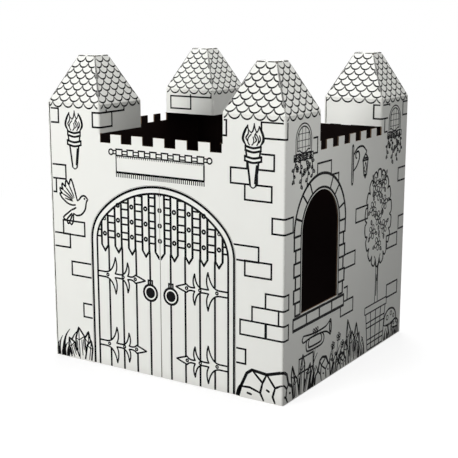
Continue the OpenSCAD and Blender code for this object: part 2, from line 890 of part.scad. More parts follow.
// Row of round-ended tiles, on the slope above the roof fold. Each tile is drawn in its own cell
// and ends on the middle of the next row's line.
module tile_row_line(row) {
    step = tile_w * (1 - tile_shrink_share * row);
    shift = row % 2 == 0 ? step / 2 : 0;
    n = ceil(half_tower / step);
    side_w = tile_side_share * fine_w;
    for (i = [-n:n])
        translate([i * step + shift, row * tile_row - tile_drop + step / 2]) intersection() {
            difference() {
                tile_shape(step + side_w);
                translate([0, tile_swell_share * fine_w]) tile_shape(step - side_w);
            }
            patch([-step / 2, -step], [step / 2, tile_row - step / 2]);
        }
}

// Outer face of a roof flap that takes print
module roof_face() {
    inset = hip_slit + ink_edge;
    foot = half_tower - fold_r;
    knee = half_tower - inset - roof_run * fold_r / slant;
    top = half_top - relief_r - ink_edge;
    polygon([
        [-foot, 0], [foot, 0], [knee, fold_r], [top, slant - ink_edge], [-top, slant - ink_edge], [-knee, fold_r]
    ]);
}

// Tiles of one tower, on the four roof flaps and on the walls just below them. The ink is broken at the fold.
module roof_print(corner) {
    color(black) for (k = [0:3])
        at_tower(corner, k) translate([0, -half_tower, eave_h]) {
            rotate([-lean, 0, 0]) rotate([90, 0, 0]) linear_extrude(ink_t) intersection() {
                for (row = [0:tile_row_n - 1])
                    tile_row_line(row);
                roof_face();
            }
            rotate([90, 0, 0]) linear_extrude(ink_t) intersection() {
                tile_row_line(0);
                patch([fold_r - half_tower, -tile_drop - fine_w], [half_tower - fold_r, -ink_t]);
            }
        }
}

module front_left_roof_print() {
    roof_print(FRONT_LEFT);
}

module front_right_roof_print() {
    roof_print(FRONT_RIGHT);
}

module back_left_roof_print() {
    roof_print(BACK_LEFT);
}

module back_right_roof_print() {
    roof_print(BACK_RIGHT);
}

front_right_sheet();
back_left_sheet();
left_door_leaf();
right_door_leaf();
front_print();
right_print();
back_print();
left_print();
left_leaf_print();
right_leaf_print();
front_left_roof_print();
front_right_roof_print();
back_left_roof_print();
back_right_roof_print();
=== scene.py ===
# %% [markdown]
# # A cardboard play castle
# The real castle is two big sheets of white-lined corrugated board. They are creased, folded round the
# corners and glued, and black line print covers the outside. The frame that is loaded here holds the sheets,
# the door leaves and the main print at their true size. This lesson gives the board its layers and raw edges,
# adds the finer pen drawing, and sets up the finishes, the light and the camera.

# %% Load the frame
import math
import random

import bmesh
import bpy
from bmesh.types import BMFace, BMVert
from mathutils import Matrix, Vector
from mathutils.geometry import interpolate_bezier


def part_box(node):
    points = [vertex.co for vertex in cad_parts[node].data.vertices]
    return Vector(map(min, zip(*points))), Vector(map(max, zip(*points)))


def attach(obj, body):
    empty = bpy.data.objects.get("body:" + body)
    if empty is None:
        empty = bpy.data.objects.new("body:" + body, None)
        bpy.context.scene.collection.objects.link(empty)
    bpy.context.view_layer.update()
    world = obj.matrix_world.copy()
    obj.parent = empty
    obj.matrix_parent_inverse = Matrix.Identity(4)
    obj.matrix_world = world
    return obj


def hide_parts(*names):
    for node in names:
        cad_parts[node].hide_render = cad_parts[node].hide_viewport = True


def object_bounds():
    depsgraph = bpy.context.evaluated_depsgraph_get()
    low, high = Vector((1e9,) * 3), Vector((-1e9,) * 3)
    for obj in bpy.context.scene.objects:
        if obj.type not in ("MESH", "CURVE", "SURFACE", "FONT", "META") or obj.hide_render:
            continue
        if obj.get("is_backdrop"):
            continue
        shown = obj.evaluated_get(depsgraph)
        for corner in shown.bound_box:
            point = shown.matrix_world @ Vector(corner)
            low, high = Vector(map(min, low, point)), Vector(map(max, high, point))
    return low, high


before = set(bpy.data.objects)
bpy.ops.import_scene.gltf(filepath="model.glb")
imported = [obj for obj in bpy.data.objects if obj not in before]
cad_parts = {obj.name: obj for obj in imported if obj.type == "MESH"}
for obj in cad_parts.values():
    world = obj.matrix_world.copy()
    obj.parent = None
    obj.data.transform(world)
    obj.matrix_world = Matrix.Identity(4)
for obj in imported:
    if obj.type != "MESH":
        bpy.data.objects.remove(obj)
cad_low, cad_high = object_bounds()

print("frame:", len(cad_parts), "nodes, size", [round(x, 4) for x in cad_high - cad_low])

# %% [markdown]
# ## Sizes
# The box of a folded sheet gives the width, depth and height of the castle. The other sizes are where the
# board is cut and creased: the top of the walls, the fold below each roof, the width of a tower and of its
# flat top. They are named once, in metres, so that finishes and drawing agree.

# %% Sizes of the castle
sheet_low, sheet_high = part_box("front_right_sheet")
HALF_W = sheet_high.x
HALF_D = -sheet_low.y
PEAK = sheet_high.z
EAVE = 0.834
WALL = 0.747
TOWER = 0.208
ROOF_TOP = 0.066
BOARD = 0.004
FLUTE_PITCH = 0.008
HAIR = 0.0005
print("half width and depth", round(HALF_W, 4), round(HALF_D, 4), "m, height", round(PEAK, 4), "m")

# %% [markdown]
# ## Camera
# The photograph looks at the near right corner from a little above the battlements. A long lens keeps the
# upright edges almost parallel, so the camera stands well back and its lens is longer than a normal one.

# %% Camera
CAMERA_AZIMUTH = math.radians(32.45)
CAMERA_ELEVATION = math.radians(12.18)
CAMERA_DISTANCE = 3.477
CAMERA_TARGET = Vector((-0.0206, 0, 0.395))
CAMERA_LENS = 81.2

scene = bpy.context.scene
camera = bpy.data.objects.new("camera", bpy.data.cameras.new("camera"))
scene.collection.objects.link(camera)
camera_back = Vector((
    math.sin(CAMERA_AZIMUTH) * math.cos(CAMERA_ELEVATION),
    -math.cos(CAMERA_AZIMUTH) * math.cos(CAMERA_ELEVATION),
    math.sin(CAMERA_ELEVATION),
))
camera.location = CAMERA_TARGET + camera_back * CAMERA_DISTANCE
camera.rotation_euler = (-camera_back).to_track_quat("-Z", "Y").to_euler()
camera.data.lens = CAMERA_LENS
scene.camera = camera
print("camera at", [round(x, 3) for x in camera.location])

# %% [markdown]
# ## Light
# The picture is a plain product shot on white. One broad lamp stands to the left of the front and makes that
# wall the brightest. A second hangs overhead and lifts the roofs. A small weak one near the camera's right
# lights the near end of the side wall, which stays grey. The last lights the two far walls, which the
# photograph doesn't show.

# %% Lamps
# Name, place and size in metres, power in watts
LAMPS = (
    ("key_lamp", Vector((-1.7, -4.5, 1.6)), 2.4, 195),
    ("top_lamp", Vector((0.2, 0.4, 3.4)), 2.2, 76),
    ("fill_lamp", Vector((1.5, -0.6, 1.0)), 0.6, 4.8),
    ("back_lamp", Vector((-2.6, 3.6, 2.0)), 2.4, 105),
)
LIT_PLACE = Vector((0, 0, 0.5))

for name, place, size, power in LAMPS:
    lamp = bpy.data.objects.new(name, bpy.data.lights.new(name, "AREA"))
    lamp.data.shape = "SQUARE"
    lamp.data.size = size
    lamp.data.energy = power
    lamp.location = place
    lamp.rotation_euler = (place - LIT_PLACE).to_track_quat("Z", "Y").to_euler()
    scene.collection.objects.link(lamp)

# %% [markdown]
# ## Helpers
# A finish is a small net of nodes, and a few steps come up in each: add a node, do a sum, fade from one value
# to another. Short functions take these steps, so that a finish reads as a recipe. Two more serve the shapes:
# one picks vertices or faces out of what a bmesh operator gives back, and one turns a bmesh into an object.

# %% Helpers for nodes and shapes


def node(tree, kind, place=(0, 0), **settings):
    """Adds a node, sets its properties, and its input sockets where a key starts with in_."""
    made = tree.nodes.new(kind)
    made.location = place
    for key, value in settings.items():
        if key.startswith("in_"):
            made.inputs[int(key[3:])].default_value = value
        else:
            setattr(made, key, value)
    return made


def maths(tree, operation, a, b=None, c=None):
    """Adds a Math node. Each operand is a number or a socket."""
    made = tree.nodes.new("ShaderNodeMath")
    made.operation = operation
    for i, value in enumerate((a, b, c)):
        if isinstance(value, (int, float)):
            made.inputs[i].default_value = value
        elif value is not None:
            tree.links.new(value, made.inputs[i])
    return made.outputs[0]


def fade(tree, value, low, high, to_low=0.0, to_high=1.0):
    """Maps a value smoothly from one range to another."""
    made = node(tree, "ShaderNodeMapRange", interpolation_type="SMOOTHSTEP")
    tree.links.new(value, made.inputs["Value"])
    made.inputs["From Min"].default_value = low
    made.inputs["From Max"].default_value = high
    made.inputs["To Min"].default_value = to_low
    made.inputs["To Max"].default_value = to_high
    return made.outputs["Result"]


def only(kind, geom):
    """The elements of one kind in what a bmesh operator gives back."""
    return [element for element in geom if isinstance(element, kind)]


def new_piece(name, bm, finishes):
    """Turns a bmesh into an object at the origin, with its finishes."""
    mesh = bpy.data.meshes.new(name)
    bm.to_mesh(mesh)
    bm.free()
    for finish in finishes:
        mesh.materials.append(finish)
    piece = bpy.data.objects.new(name, mesh)
    scene.collection.objects.link(piece)
    return piece


print("helpers are ready")

# %% [markdown]
# ## Floor and backdrop
# The backdrop of such a shot is white paper, lit until it is pure white. Lamps strong enough for that would
# wash out the board. So a Light Path node tells the camera's rays from the others, and the world and the
# floor are white for the camera alone, so no extra light falls on the board. Near the castle the floor stays
# a little darker, which leaves it a soft shadow to stand on.

# %% World and floor
WORLD_GLOW = 0.045
WHITE = (1, 1, 1, 1)
FLOOR_SIZE = 30.0
FLOOR_ROUGH = 0.9
FLOOR_GLOW = 0.78
FLOOR_SEEN = 0.3
FLOOR_BOUNCE = 0.16
FLOOR_NEAR = 0.9
FLOOR_FAR = 3.2


def seen_by_camera(tree):
    """1 for rays that the camera sees at once or through gloss or glass, and 0 for all others."""
    rays = node(tree, "ShaderNodeLightPath").outputs
    seen = maths(tree, "MAXIMUM", rays["Is Camera Ray"], rays["Is Glossy Ray"])
    return maths(tree, "MAXIMUM", seen, rays["Is Transmission Ray"])


def light_backdrop(tree):
    tree.nodes.clear()
    background = node(tree, "ShaderNodeBackground")
    background.inputs["Color"].default_value = WHITE
    strength = maths(tree, "MULTIPLY_ADD", seen_by_camera(tree), 1 - WORLD_GLOW, WORLD_GLOW)
    tree.links.new(strength, background.inputs["Strength"])
    tree.links.new(background.outputs[0], node(tree, "ShaderNodeOutputWorld").inputs["Surface"])


def paint_floor(tree):
    shader = tree.nodes["Principled BSDF"]
    shader.inputs["Roughness"].default_value = FLOOR_ROUGH
    shader.inputs["Specular IOR Level"].default_value = 0.0
    shader.inputs["Emission Color"].default_value = WHITE
    seen = seen_by_camera(tree)
    reach = node(tree, "ShaderNodeVectorMath", operation="LENGTH")
    tree.links.new(node(tree, "ShaderNodeTexCoord").outputs["Object"], reach.inputs[0])
    away = reach.outputs["Value"]
    tone = maths(tree, "MULTIPLY", seen, fade(tree, away, FLOOR_NEAR, FLOOR_FAR, FLOOR_SEEN, 0.0))
    bounce = maths(tree, "MULTIPLY", maths(tree, "SUBTRACT", 1.0, seen), FLOOR_BOUNCE)
    glow = maths(tree, "MULTIPLY", seen, fade(tree, away, FLOOR_NEAR, FLOOR_FAR, FLOOR_GLOW, 1.0))
    tree.links.new(maths(tree, "ADD", tone, bounce), shader.inputs["Base Color"])
    tree.links.new(glow, shader.inputs["Emission Strength"])


world = bpy.data.worlds.new("studio")
scene.world = world
world.use_nodes = True
light_backdrop(world.node_tree)
floor_finish = bpy.data.materials.new("studio_floor")
floor_finish.use_nodes = True
paint_floor(floor_finish.node_tree)
bm = bmesh.new()
bmesh.ops.create_grid(bm, x_segments=2, y_segments=2, size=FLOOR_SIZE / 2)
floor = new_piece("floor", bm, [floor_finish])
floor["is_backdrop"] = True
print("floor and backdrop are white for the camera")

# %% [markdown]
# ## Finishes
# Board shows three papers: the white liner that takes the print, the liner inside, which takes the near-black
# painted shade of the closed interior as its colour, and brown fluting at each raw edge. All three share the
# same fibre, so the fibre is a node group that each finish uses with its own values. A second group finds the
# creases, where folding has scuffed the white. A third gives the faint ridges of the fluting, which show
# through the liner as upright stripes.

# %% Shared effects
CREASE_WIDTH = 0.009
SPECK_DETAIL = 3.0
CLOUD_DETAIL = 4.0
CREASE_NOISE = 160.0
CREASE_DETAIL = 3.0
CREASE_BREAKS = (0.3, 0.7)


def new_group(name, inputs, outputs):
    """Starts a shader node group. Sockets are (name, kind, default)."""
    group = bpy.data.node_groups.new(name, "ShaderNodeTree")
    for label, kind, default in inputs:
        socket = group.interface.new_socket(label, in_out="INPUT", socket_type=kind)
        socket.default_value = default
    for label, kind in outputs:
        group.interface.new_socket(label, in_out="OUTPUT", socket_type=kind)
    return group, node(group, "NodeGroupInput", (-900, 0)), node(group, "NodeGroupOutput", (900, 0))


def object_xyz(tree):
    """Object coordinates of the surface, split up."""
    split = node(tree, "ShaderNodeSeparateXYZ")
    tree.links.new(node(tree, "ShaderNodeTexCoord").outputs["Object"], split.inputs[0])
    return split.outputs


def make_fibre_group():
    """Paper fibre: fine specks and broad clouds, as a tone near 1 and a height."""
    group, given, put = new_group(
        "paper_fibre",
        [("Speck Scale", "NodeSocketFloat", 900.0), ("Cloud Scale", "NodeSocketFloat", 9.0),
         ("Speck", "NodeSocketFloat", 0.05), ("Cloud", "NodeSocketFloat", 0.04)],
        [("Tone", "NodeSocketFloat"), ("Height", "NodeSocketFloat")],
    )
    place = node(group, "ShaderNodeTexCoord")
    specks = node(group, "ShaderNodeTexNoise", in_3=SPECK_DETAIL)
    clouds = node(group, "ShaderNodeTexNoise", in_3=CLOUD_DETAIL)
    tone = 1.0
    for texture, label in ((specks, "Speck"), (clouds, "Cloud")):
        group.links.new(place.outputs["Object"], texture.inputs["Vector"])
        group.links.new(given.outputs[label + " Scale"], texture.inputs["Scale"])
        swing = maths(group, "SUBTRACT", texture.outputs[0], 0.5)
        tone = maths(group, "MULTIPLY_ADD", swing, given.outputs[label], tone)
    group.links.new(tone, put.inputs["Tone"])
    group.links.new(specks.outputs[0], put.inputs["Height"])
    return group


def make_crease_group():
    """Creases: a mask that is 1 along the upright folds and the roof folds, and soon fades."""
    group, given, put = new_group(
        "crease_wear", [("Width", "NodeSocketFloat", CREASE_WIDTH)], [("Mask", "NodeSocketFloat")]
    )
    x, y, z = object_xyz(group)
    far_x = maths(group, "ABSOLUTE", x)
    far_y = maths(group, "ABSOLUTE", y)
    below_tower = maths(group, "LESS_THAN", z, WALL)
    near = []
    for edge_x in (HALF_W, HALF_W - TOWER):
        for edge_y in (HALF_D, HALF_D - TOWER):
            gap_x = maths(group, "ABSOLUTE", maths(group, "SUBTRACT", far_x, edge_x))
            gap_y = maths(group, "ABSOLUTE", maths(group, "SUBTRACT", far_y, edge_y))
            gap = maths(group, "MAXIMUM", gap_x, gap_y)
            is_corner = edge_x == HALF_W and edge_y == HALF_D
            near.append(gap if is_corner else maths(group, "ADD", gap, below_tower))
    near.append(maths(group, "ABSOLUTE", maths(group, "SUBTRACT", z, EAVE)))
    nearest = near[0]
    for other in near[1:]:
        nearest = maths(group, "MINIMUM", nearest, other)
    away = maths(group, "DIVIDE", nearest, given.outputs["Width"])
    broken = node(group, "ShaderNodeTexNoise", in_2=CREASE_NOISE, in_3=CREASE_DETAIL)
    group.links.new(node(group, "ShaderNodeTexCoord").outputs["Object"], broken.inputs["Vector"])
    patches = fade(group, broken.outputs[0], *CREASE_BREAKS)
    mask = maths(group, "MULTIPLY", fade(group, away, 0.0, 1.0, 1.0, 0.0), patches)
    group.links.new(mask, put.inputs["Mask"])
    return group


def make_flute_group():
    """Fluting that shows through the liner: a height that waves along each wall."""
    group, given, put = new_group(
        "flute_ridges", [("Pitch", "NodeSocketFloat", FLUTE_PITCH)], [("Height", "NodeSocketFloat")]
    )
    x, y = object_xyz(group)[:2]
    facing = node(group, "ShaderNodeSeparateXYZ")
    group.links.new(node(group, "ShaderNodeNewGeometry").outputs["True Normal"], facing.inputs[0])
    turned = maths(
        group, "GREATER_THAN",
        maths(group, "ABSOLUTE", facing.outputs[0]), maths(group, "ABSOLUTE", facing.outputs[1]),
    )
    along = maths(group, "ADD", maths(group, "MULTIPLY", y, turned),
                  maths(group, "MULTIPLY", x, maths(group, "SUBTRACT", 1.0, turned)))
    turn = maths(group, "MULTIPLY", maths(group, "DIVIDE", along, given.outputs["Pitch"]), math.tau)
    group.links.new(maths(group, "MULTIPLY_ADD", maths(group, "SINE", turn), 0.5, 0.5), put.inputs["Height"])
    return group


FIBRE = make_fibre_group()
CREASE = make_crease_group()
FLUTE = make_flute_group()
print("shared effects:", [g.name for g in bpy.data.node_groups])

# %% [markdown]
# Each finish starts from the same paper: a colour times the tone of the fibre, and a roughness that follows
# the fibre too. The white liner adds scuffed creases, painted shade that darkens it near the floor, and the
# ridges of the fluting. Ink lies thin on the paper and hardly shines. On the roofs the line of each tile is
# full at its round end and runs out up its sides. The height above the fold, counted in rows of tiles, gives
# the mask for that.

# %% Helpers for finishes
PAPER_GLOSS = 0.25
DULL_GLOSS = 0.06


def place_group(tree, group, **values):
    """Places a shared effect in a material, with its own values."""
    made = tree.nodes.new("ShaderNodeGroup")
    made.node_tree = group
    for label, value in values.items():
        made.inputs[label.replace("_", " ")].default_value = value
    return made


def mix_colour(tree, mask, low, high):
    """Mixes two colours by a mask. Each colour is a triple or a socket."""
    made = node(tree, "ShaderNodeMix", data_type="RGBA")
    tree.links.new(mask, made.inputs[0])
    for socket, value in ((made.inputs[6], low), (made.inputs[7], high)):
        if isinstance(value, tuple):
            socket.default_value = (*value, 1)
        else:
            tree.links.new(value, socket)
    return made.outputs[2]


def shaded(tree, colour, tone):
    """Multiplies a colour by a tone that varies over the surface."""
    made = node(tree, "ShaderNodeVectorMath", operation="SCALE")
    if isinstance(colour, tuple):
        made.inputs[0].default_value = colour
    else:
        tree.links.new(colour, made.inputs[0])
    tree.links.new(tone, made.inputs["Scale"])
    return made.outputs[0]


def bump(tree, shader, height, strength, distance):
    made = node(tree, "ShaderNodeBump")
    made.inputs["Strength"].default_value = strength
    made.inputs["Distance"].default_value = distance
    tree.links.new(height, made.inputs["Height"])
    tree.links.new(made.outputs[0], shader.inputs["Normal"])


def paper(name, roughness, speck, cloud, gloss=PAPER_GLOSS):
    """Starts a paper finish, whose roughness follows its fibre. Gives the finish, tree, shader and fibre."""
    finish = bpy.data.materials.new(name)
    finish.use_nodes = True
    tree = finish.node_tree
    shader = tree.nodes["Principled BSDF"]
    shader.inputs["Specular IOR Level"].default_value = gloss
    fibre = place_group(tree, FIBRE, Speck=speck, Cloud=cloud)
    rough = maths(tree, "MULTIPLY", fibre.outputs["Tone"], roughness)
    tree.links.new(rough, shader.inputs["Roughness"])
    return finish, tree, shader, fibre


def tint(tree, shader, fibre, colour):
    """Gives a paper its colour, which varies with the fibre."""
    tree.links.new(shaded(tree, colour, fibre.outputs["Tone"]), shader.inputs["Base Color"])


print("gloss of paper", PAPER_GLOSS, "and of ink", DULL_GLOSS)

# %% Papers and inks
WHITE_LINER = (0.885, 0.888, 0.845)
CREASE_TONE = (0.70, 0.69, 0.64)
# Painted shade: the white liner darkens towards this tone near the floor
FOOT_SHADE_TONE = (0.74, 0.73, 0.69)
# Painted shade: the inside liner is near black, the shade of the closed interior painted into its colour
INNER_PAINTED_SHADE = (0.0045, 0.0016, 0.0014)
KRAFT_EDGE = (0.20, 0.135, 0.085)
KRAFT_FLUTE = (0.33, 0.225, 0.14)
BLACK_INK = (0.003, 0.003, 0.0035)
THIN_INK = (0.09, 0.09, 0.088)
TILE_RISE = 0.01706
TILE_FOOT = EAVE - 0.0126
CREASE_SHARE = 0.45
FOOT_SHADE_HIGH = 0.035
FOOT_SHADE_SHARE = 0.5
FIBRE_SHARE = 0.35
TILE_FADE = (0.22, 0.6)
INK_VALUES = {"roughness": 0.6, "speck": 0.5, "cloud": 0.5, "gloss": DULL_GLOSS}


def white_liner():
    """White outer liner, scuffed at the creases and darkened near the floor by painted shade, with the
    fluting showing through.
    """
    finish, tree, shader, fibre = paper("white_liner", roughness=0.62, speck=0.035, cloud=0.05)
    creases = maths(tree, "MULTIPLY", place_group(tree, CREASE).outputs["Mask"], CREASE_SHARE)
    worn = mix_colour(tree, creases, WHITE_LINER, CREASE_TONE)
    # Painted shade near the floor: the liner darkens in its lowest few centimetres
    foot_shade = fade(tree, object_xyz(tree)[2], 0.0, FOOT_SHADE_HIGH, FOOT_SHADE_SHARE, 0.0)
    tint(tree, shader, fibre, mix_colour(tree, foot_shade, worn, FOOT_SHADE_TONE))
    ridges = place_group(tree, FLUTE).outputs["Height"]
    height = maths(tree, "MULTIPLY_ADD", fibre.outputs["Height"], FIBRE_SHARE, ridges)
    bump(tree, shader, height, strength=0.12, distance=0.0002)
    return finish


def plain_paper(name, colour, **values):
    """Unprinted paper: the inside liner, whose near-black colour is painted shade, the raw edges and the
    fluting.
    """
    finish, tree, shader, fibre = paper(name, **values)
    tint(tree, shader, fibre, colour)
    bump(tree, shader, fibre.outputs["Height"], strength=0.3, distance=0.0003)
    return finish


def black_ink():
    """Black print: thin and duller than the paper, with fine pinholes."""
    finish, tree, shader, fibre = paper("black_ink", **INK_VALUES)
    tint(tree, shader, fibre, BLACK_INK)
    bump(tree, shader, fibre.outputs["Height"], strength=0.15, distance=0.0001)
    return finish


def roof_ink():
    """Ink of the roof tiles: full at the round end of each tile, and thin up its sides."""
    finish, tree, shader, fibre = paper("roof_ink", **INK_VALUES)
    up = maths(tree, "MAXIMUM", maths(tree, "SUBTRACT", object_xyz(tree)[2], TILE_FOOT), 0.0)
    share = maths(tree, "FRACT", maths(tree, "DIVIDE", up, TILE_RISE))
    tint(tree, shader, fibre, mix_colour(tree, fade(tree, share, *TILE_FADE), BLACK_INK, THIN_INK))
    return finish


OUTER = white_liner()
# The inside liner takes a near-black colour, which is painted shade
SHADED_INNER_LINER = plain_paper("inner_liner_painted_shade", INNER_PAINTED_SHADE, roughness=0.75, speck=0.3, cloud=0.3, gloss=DULL_GLOSS)
RAW_EDGE = plain_paper("raw_edge", KRAFT_EDGE, roughness=0.85, speck=0.35, cloud=0.2)
FLUTING = plain_paper("fluting", KRAFT_FLUTE, roughness=0.85, speck=0.3, cloud=0.2)
PRINT = black_ink()
ROOF_PRINT = roof_ink()
print("finishes:", [m.name for m in (OUTER, SHADED_INNER_LINER, RAW_EDGE, FLUTING, PRINT, ROOF_PRINT)])

# %% [markdown]
# ## Board
# A sheet of board isn't one colour all through. Its outer face is white, its inner face takes a near-black
# colour that is painted shade of the closed interior, and where it is cut the edge shows two thin liners with
# fluting in a hollow between them. Painting that on would look flat near by, so each sheet is copied from the
# frame, its faces are sorted by the layer that they show, and the cut edges get a real groove: the edge faces
# are inset by the thickness of a liner and pushed in.

# %% Sort the faces of a sheet
LINER = 0.0006
GROOVE = 0.0014
WELD = 0.00001
FLAT = math.radians(0.5)
SMOOTH = math.radians(35)
LEVEL = 0.95
UPWARD = 0.99
EDGE_ON = 0.3
LID_ZONE = 1.5 * BOARD
LAYERS = (OUTER, SHADED_INNER_LINER, RAW_EDGE)
SHOWS_OUTER, SHOWS_INNER, SHOWS_EDGE = range(len(LAYERS))


def hub_of(point):
    """What a point of the board goes round, in plan: the castle, or a tower. Its middle and half sizes."""
    if point.z < WALL:
        return Vector((0, 0)), Vector((HALF_W, HALF_D))
    half = TOWER / 2
    hub = Vector((math.copysign(HALF_W - half, point.x), math.copysign(HALF_D - half, point.y)))
    return hub, Vector((half, half))


def layer_of(centre, normal):
    """Which layer a face shows, as a place in LAYERS."""
    if abs(normal.z) > LEVEL:
        if centre.z > PEAK - LID_ZONE:
            return SHOWS_OUTER if normal.z > 0 else SHOWS_INNER
        return SHOWS_EDGE
    hub, half = hub_of(centre)
    away = centre.to_2d() - hub
    level = normal.to_2d()
    if centre.z > EAVE:
        reached = [abs(away.x) >= abs(away.y), abs(away.y) > abs(away.x)]
    else:
        reached = [abs(away[i]) > half[i] - BOARD - HAIR for i in (0, 1)]
    if reached[0] != reached[1]:
        i = 0 if reached[0] else 1
        facing = level[i] * math.copysign(1, away[i])
    else:
        facing = level.dot(away.normalized())
    if abs(facing) < EDGE_ON:
        return SHOWS_EDGE
    return SHOWS_OUTER if facing > 0 else SHOWS_INNER


def is_straight_edge(face):
    """True for a cut edge that can take a groove: as wide as the board is thick, below the roofs."""
    return face.material_index == SHOWS_EDGE and face.calc_center_median().z < WALL + HAIR


def board_piece(name, node_name, body):
    """Copies a sheet or leaf from the frame, sorts its faces by layer and grooves its cut edges."""
    bm = bmesh.new()
    bm.from_mesh(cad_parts[node_name].data)
    bmesh.ops.remove_doubles(bm, verts=bm.verts, dist=WELD)
    bmesh.ops.dissolve_limit(
        bm, angle_limit=FLAT, use_dissolve_boundaries=False, verts=bm.verts, edges=bm.edges
    )
    for face in bm.faces:
        face.material_index = layer_of(face.calc_center_median(), face.normal)
        face.smooth = True
    cut = [face for face in bm.faces if is_straight_edge(face)]
    for face in cut:
        corners = [v.co for v in face.verts]
        if face.normal.z > UPWARD and body == "castle":
            ledges.append([Vector([pick(c[i] for c in corners) for i in range(3)]) for pick in (min, max)])
    bmesh.ops.inset_region(
        bm, faces=cut, thickness=LINER, depth=-GROOVE, use_boundary=True, use_even_offset=True
    )
    # An inset overshoots where a cut edge runs round a fold
    for vert in bm.verts:
        for i, half in ((0, HALF_W), (1, HALF_D)):
            if abs(vert.co[i]) > half + WELD:
                vert.co[i] = math.copysign(half - LINER / 2, vert.co[i])
    piece = new_piece(name, bm, LAYERS)
    piece.data.set_sharp_from_angle(angle=SMOOTH)
    piece.modifiers.new("even_shading", "WEIGHTED_NORMAL").keep_sharp = True
    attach(piece, body)
    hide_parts(node_name)
    print(name, len(piece.data.polygons), "faces,", len(cut), "grooved")


ledges = []
board_piece("front_right_board", "front_right_sheet", "castle")
board_piece("back_left_board", "back_left_sheet", "castle")
board_piece("left_leaf_board", "left_door_leaf", "left_leaf")
board_piece("right_leaf_board", "right_door_leaf", "right_leaf")
print(len(ledges), "level cut edges")

# %% [markdown]
# On a level cut edge you look straight down into the board, and the fluting shows as a wavy ribbon of brown
# paper between the liners. It is drawn as a chain of edges that swings from one liner to the other, raised to
# a ribbon by an extrude, and given the thickness of paper by a solidify.

# %% Fluting in the level cut edges
FLUTE_STEPS = 8
FLUTE_PAPER = 0.0003
FLUTE_DOWN = 0.0003


def flute_ribbon(bm, low, high):
    """Lays one wavy ribbon in the groove of a level cut edge."""
    size = high - low
    run, over = (0, 1) if size.x > size.y else (1, 0)
    swing = BOARD / 2 - LINER - FLUTE_PAPER
    steps = max(2, round(FLUTE_STEPS * (size[run] - 2 * LINER) / FLUTE_PITCH))
    inner = size[run] - 2 * LINER - 2 * FLUTE_PAPER
    chain = []
    for i in range(steps + 1):
        point = Vector((0, 0, high.z - GROOVE))
        point[run] = low[run] + LINER + FLUTE_PAPER + inner * i / steps
        point[over] = (low[over] + high[over]) / 2 + swing * math.sin(math.tau * i / FLUTE_STEPS)
        chain.append(bm.verts.new(point))
    edges = [bm.edges.new(pair) for pair in zip(chain, chain[1:])]
    raised = bmesh.ops.extrude_edge_only(bm, edges=edges)["geom"]
    bmesh.ops.translate(bm, vec=(0, 0, GROOVE - FLUTE_DOWN), verts=only(BMVert, raised))
    bmesh.ops.solidify(bm, geom=only(BMFace, raised), thickness=FLUTE_PAPER)


bm = bmesh.new()
for low, high in ledges:
    if min((high - low).to_2d()) > BOARD - HAIR and max((high - low).to_2d()) > FLUTE_PITCH:
        flute_ribbon(bm, low, high)
bmesh.ops.recalc_face_normals(bm, faces=bm.faces)
edge_fluting = new_piece("edge_fluting", bm, [FLUTING])
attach(edge_fluting, "castle")
print("edge_fluting", len(edge_fluting.data.polygons), "faces")

# %% [markdown]
# ## Print from the frame
# The bricks, tiles, torches and door are already drawn in the frame as thin layers of ink. Their shape is
# right, so they stay, and only take the ink finish.

# %% Ink on the frame's print
for name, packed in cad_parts.items():
    if name.endswith("_print"):
        packed.data.materials.clear()
        packed.data.materials.append(ROOF_PRINT if name.endswith("_roof_print") else PRINT)
print("inked:", sum(name.endswith("_print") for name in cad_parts), "print nodes")

# %% [markdown]
# ## Pen drawing
# Round the big printed shapes the real print has free pen drawing: a bird, grass, crystals, hanging plants.
# A pen line swells in the middle and runs out at its ends. So each line starts as a chain of edges through a
# few given points. The chain is extruded sideways on the spot, and its two sides are pushed apart by
# half the width of the pen there. A whole wall is drawn flat in millimetres, as on a sheet of paper, then
# given the thickness of the ink and stood up against its wall.

# %% Pen and paper
MM = 0.001
FINE = 3.4
PEN = 4.6
BOLD = 6.6
# Share of its width that a line keeps at its ends
EVEN, BLUNT, FIRM, SLIM, THIN, KEEN, LOOSE, SHARP, NEEDLE = 1.0, 0.9, 0.8, 0.7, 0.6, 0.5, 0.45, 0.4, 0.3
DRAWN_INK = 0.25
PEN_STEP = 4.0
FOOT = 2.4
CURVE_STEPS = 5
RING_STEPS = 16
SWELL = 4
WALL_STAND = {
    "front": Matrix(((1, 0, 0, -HALF_W), (0, 0, -1, -HALF_D), (0, 1, 0, 0), (0, 0, 0, 1))),
    "right": Matrix(((0, 0, 1, HALF_W), (1, 0, 0, -HALF_D), (0, 1, 0, 0), (0, 0, 0, 1))),
    "back": Matrix(((-1, 0, 0, HALF_W), (0, 0, 1, HALF_D), (0, 1, 0, 0), (0, 0, 0, 1))),
    "left": Matrix(((0, 0, -1, -HALF_W), (-1, 0, 0, HALF_D), (0, 1, 0, 0), (0, 0, 0, 1))),
}


def placed(points, origin=(0, 0), size=1.0, turn=0.0, flip=1):
    """Moves the points of a motif to their place on the wall: scaled, turned and maybe flipped."""
    spin = Matrix.Rotation(math.radians(turn), 3, "Z")
    return [spin @ Vector((flip * x * size, y * size, 0)) + Vector((*origin, 0)) for x, y in points]


def smooth(points, steps=CURVE_STEPS):
    """Points along a smooth line through the given ones."""
    line = [points[0]]
    for i in range(len(points) - 1):
        start, end = points[i], points[i + 1]
        before, after = points[max(i - 1, 0)], points[min(i + 2, len(points) - 1)]
        handles = start + (end - before) / 6, end - (after - start) / 6
        line += interpolate_bezier(start, *handles, end, steps)[1:]
    return line


def arc(radius, start, end, steps):
    """Points along an arc round the origin."""
    turns = [start + (end - start) * i / steps for i in range(steps + 1)]
    return [(radius * math.cos(a), radius * math.sin(a)) for a in turns]


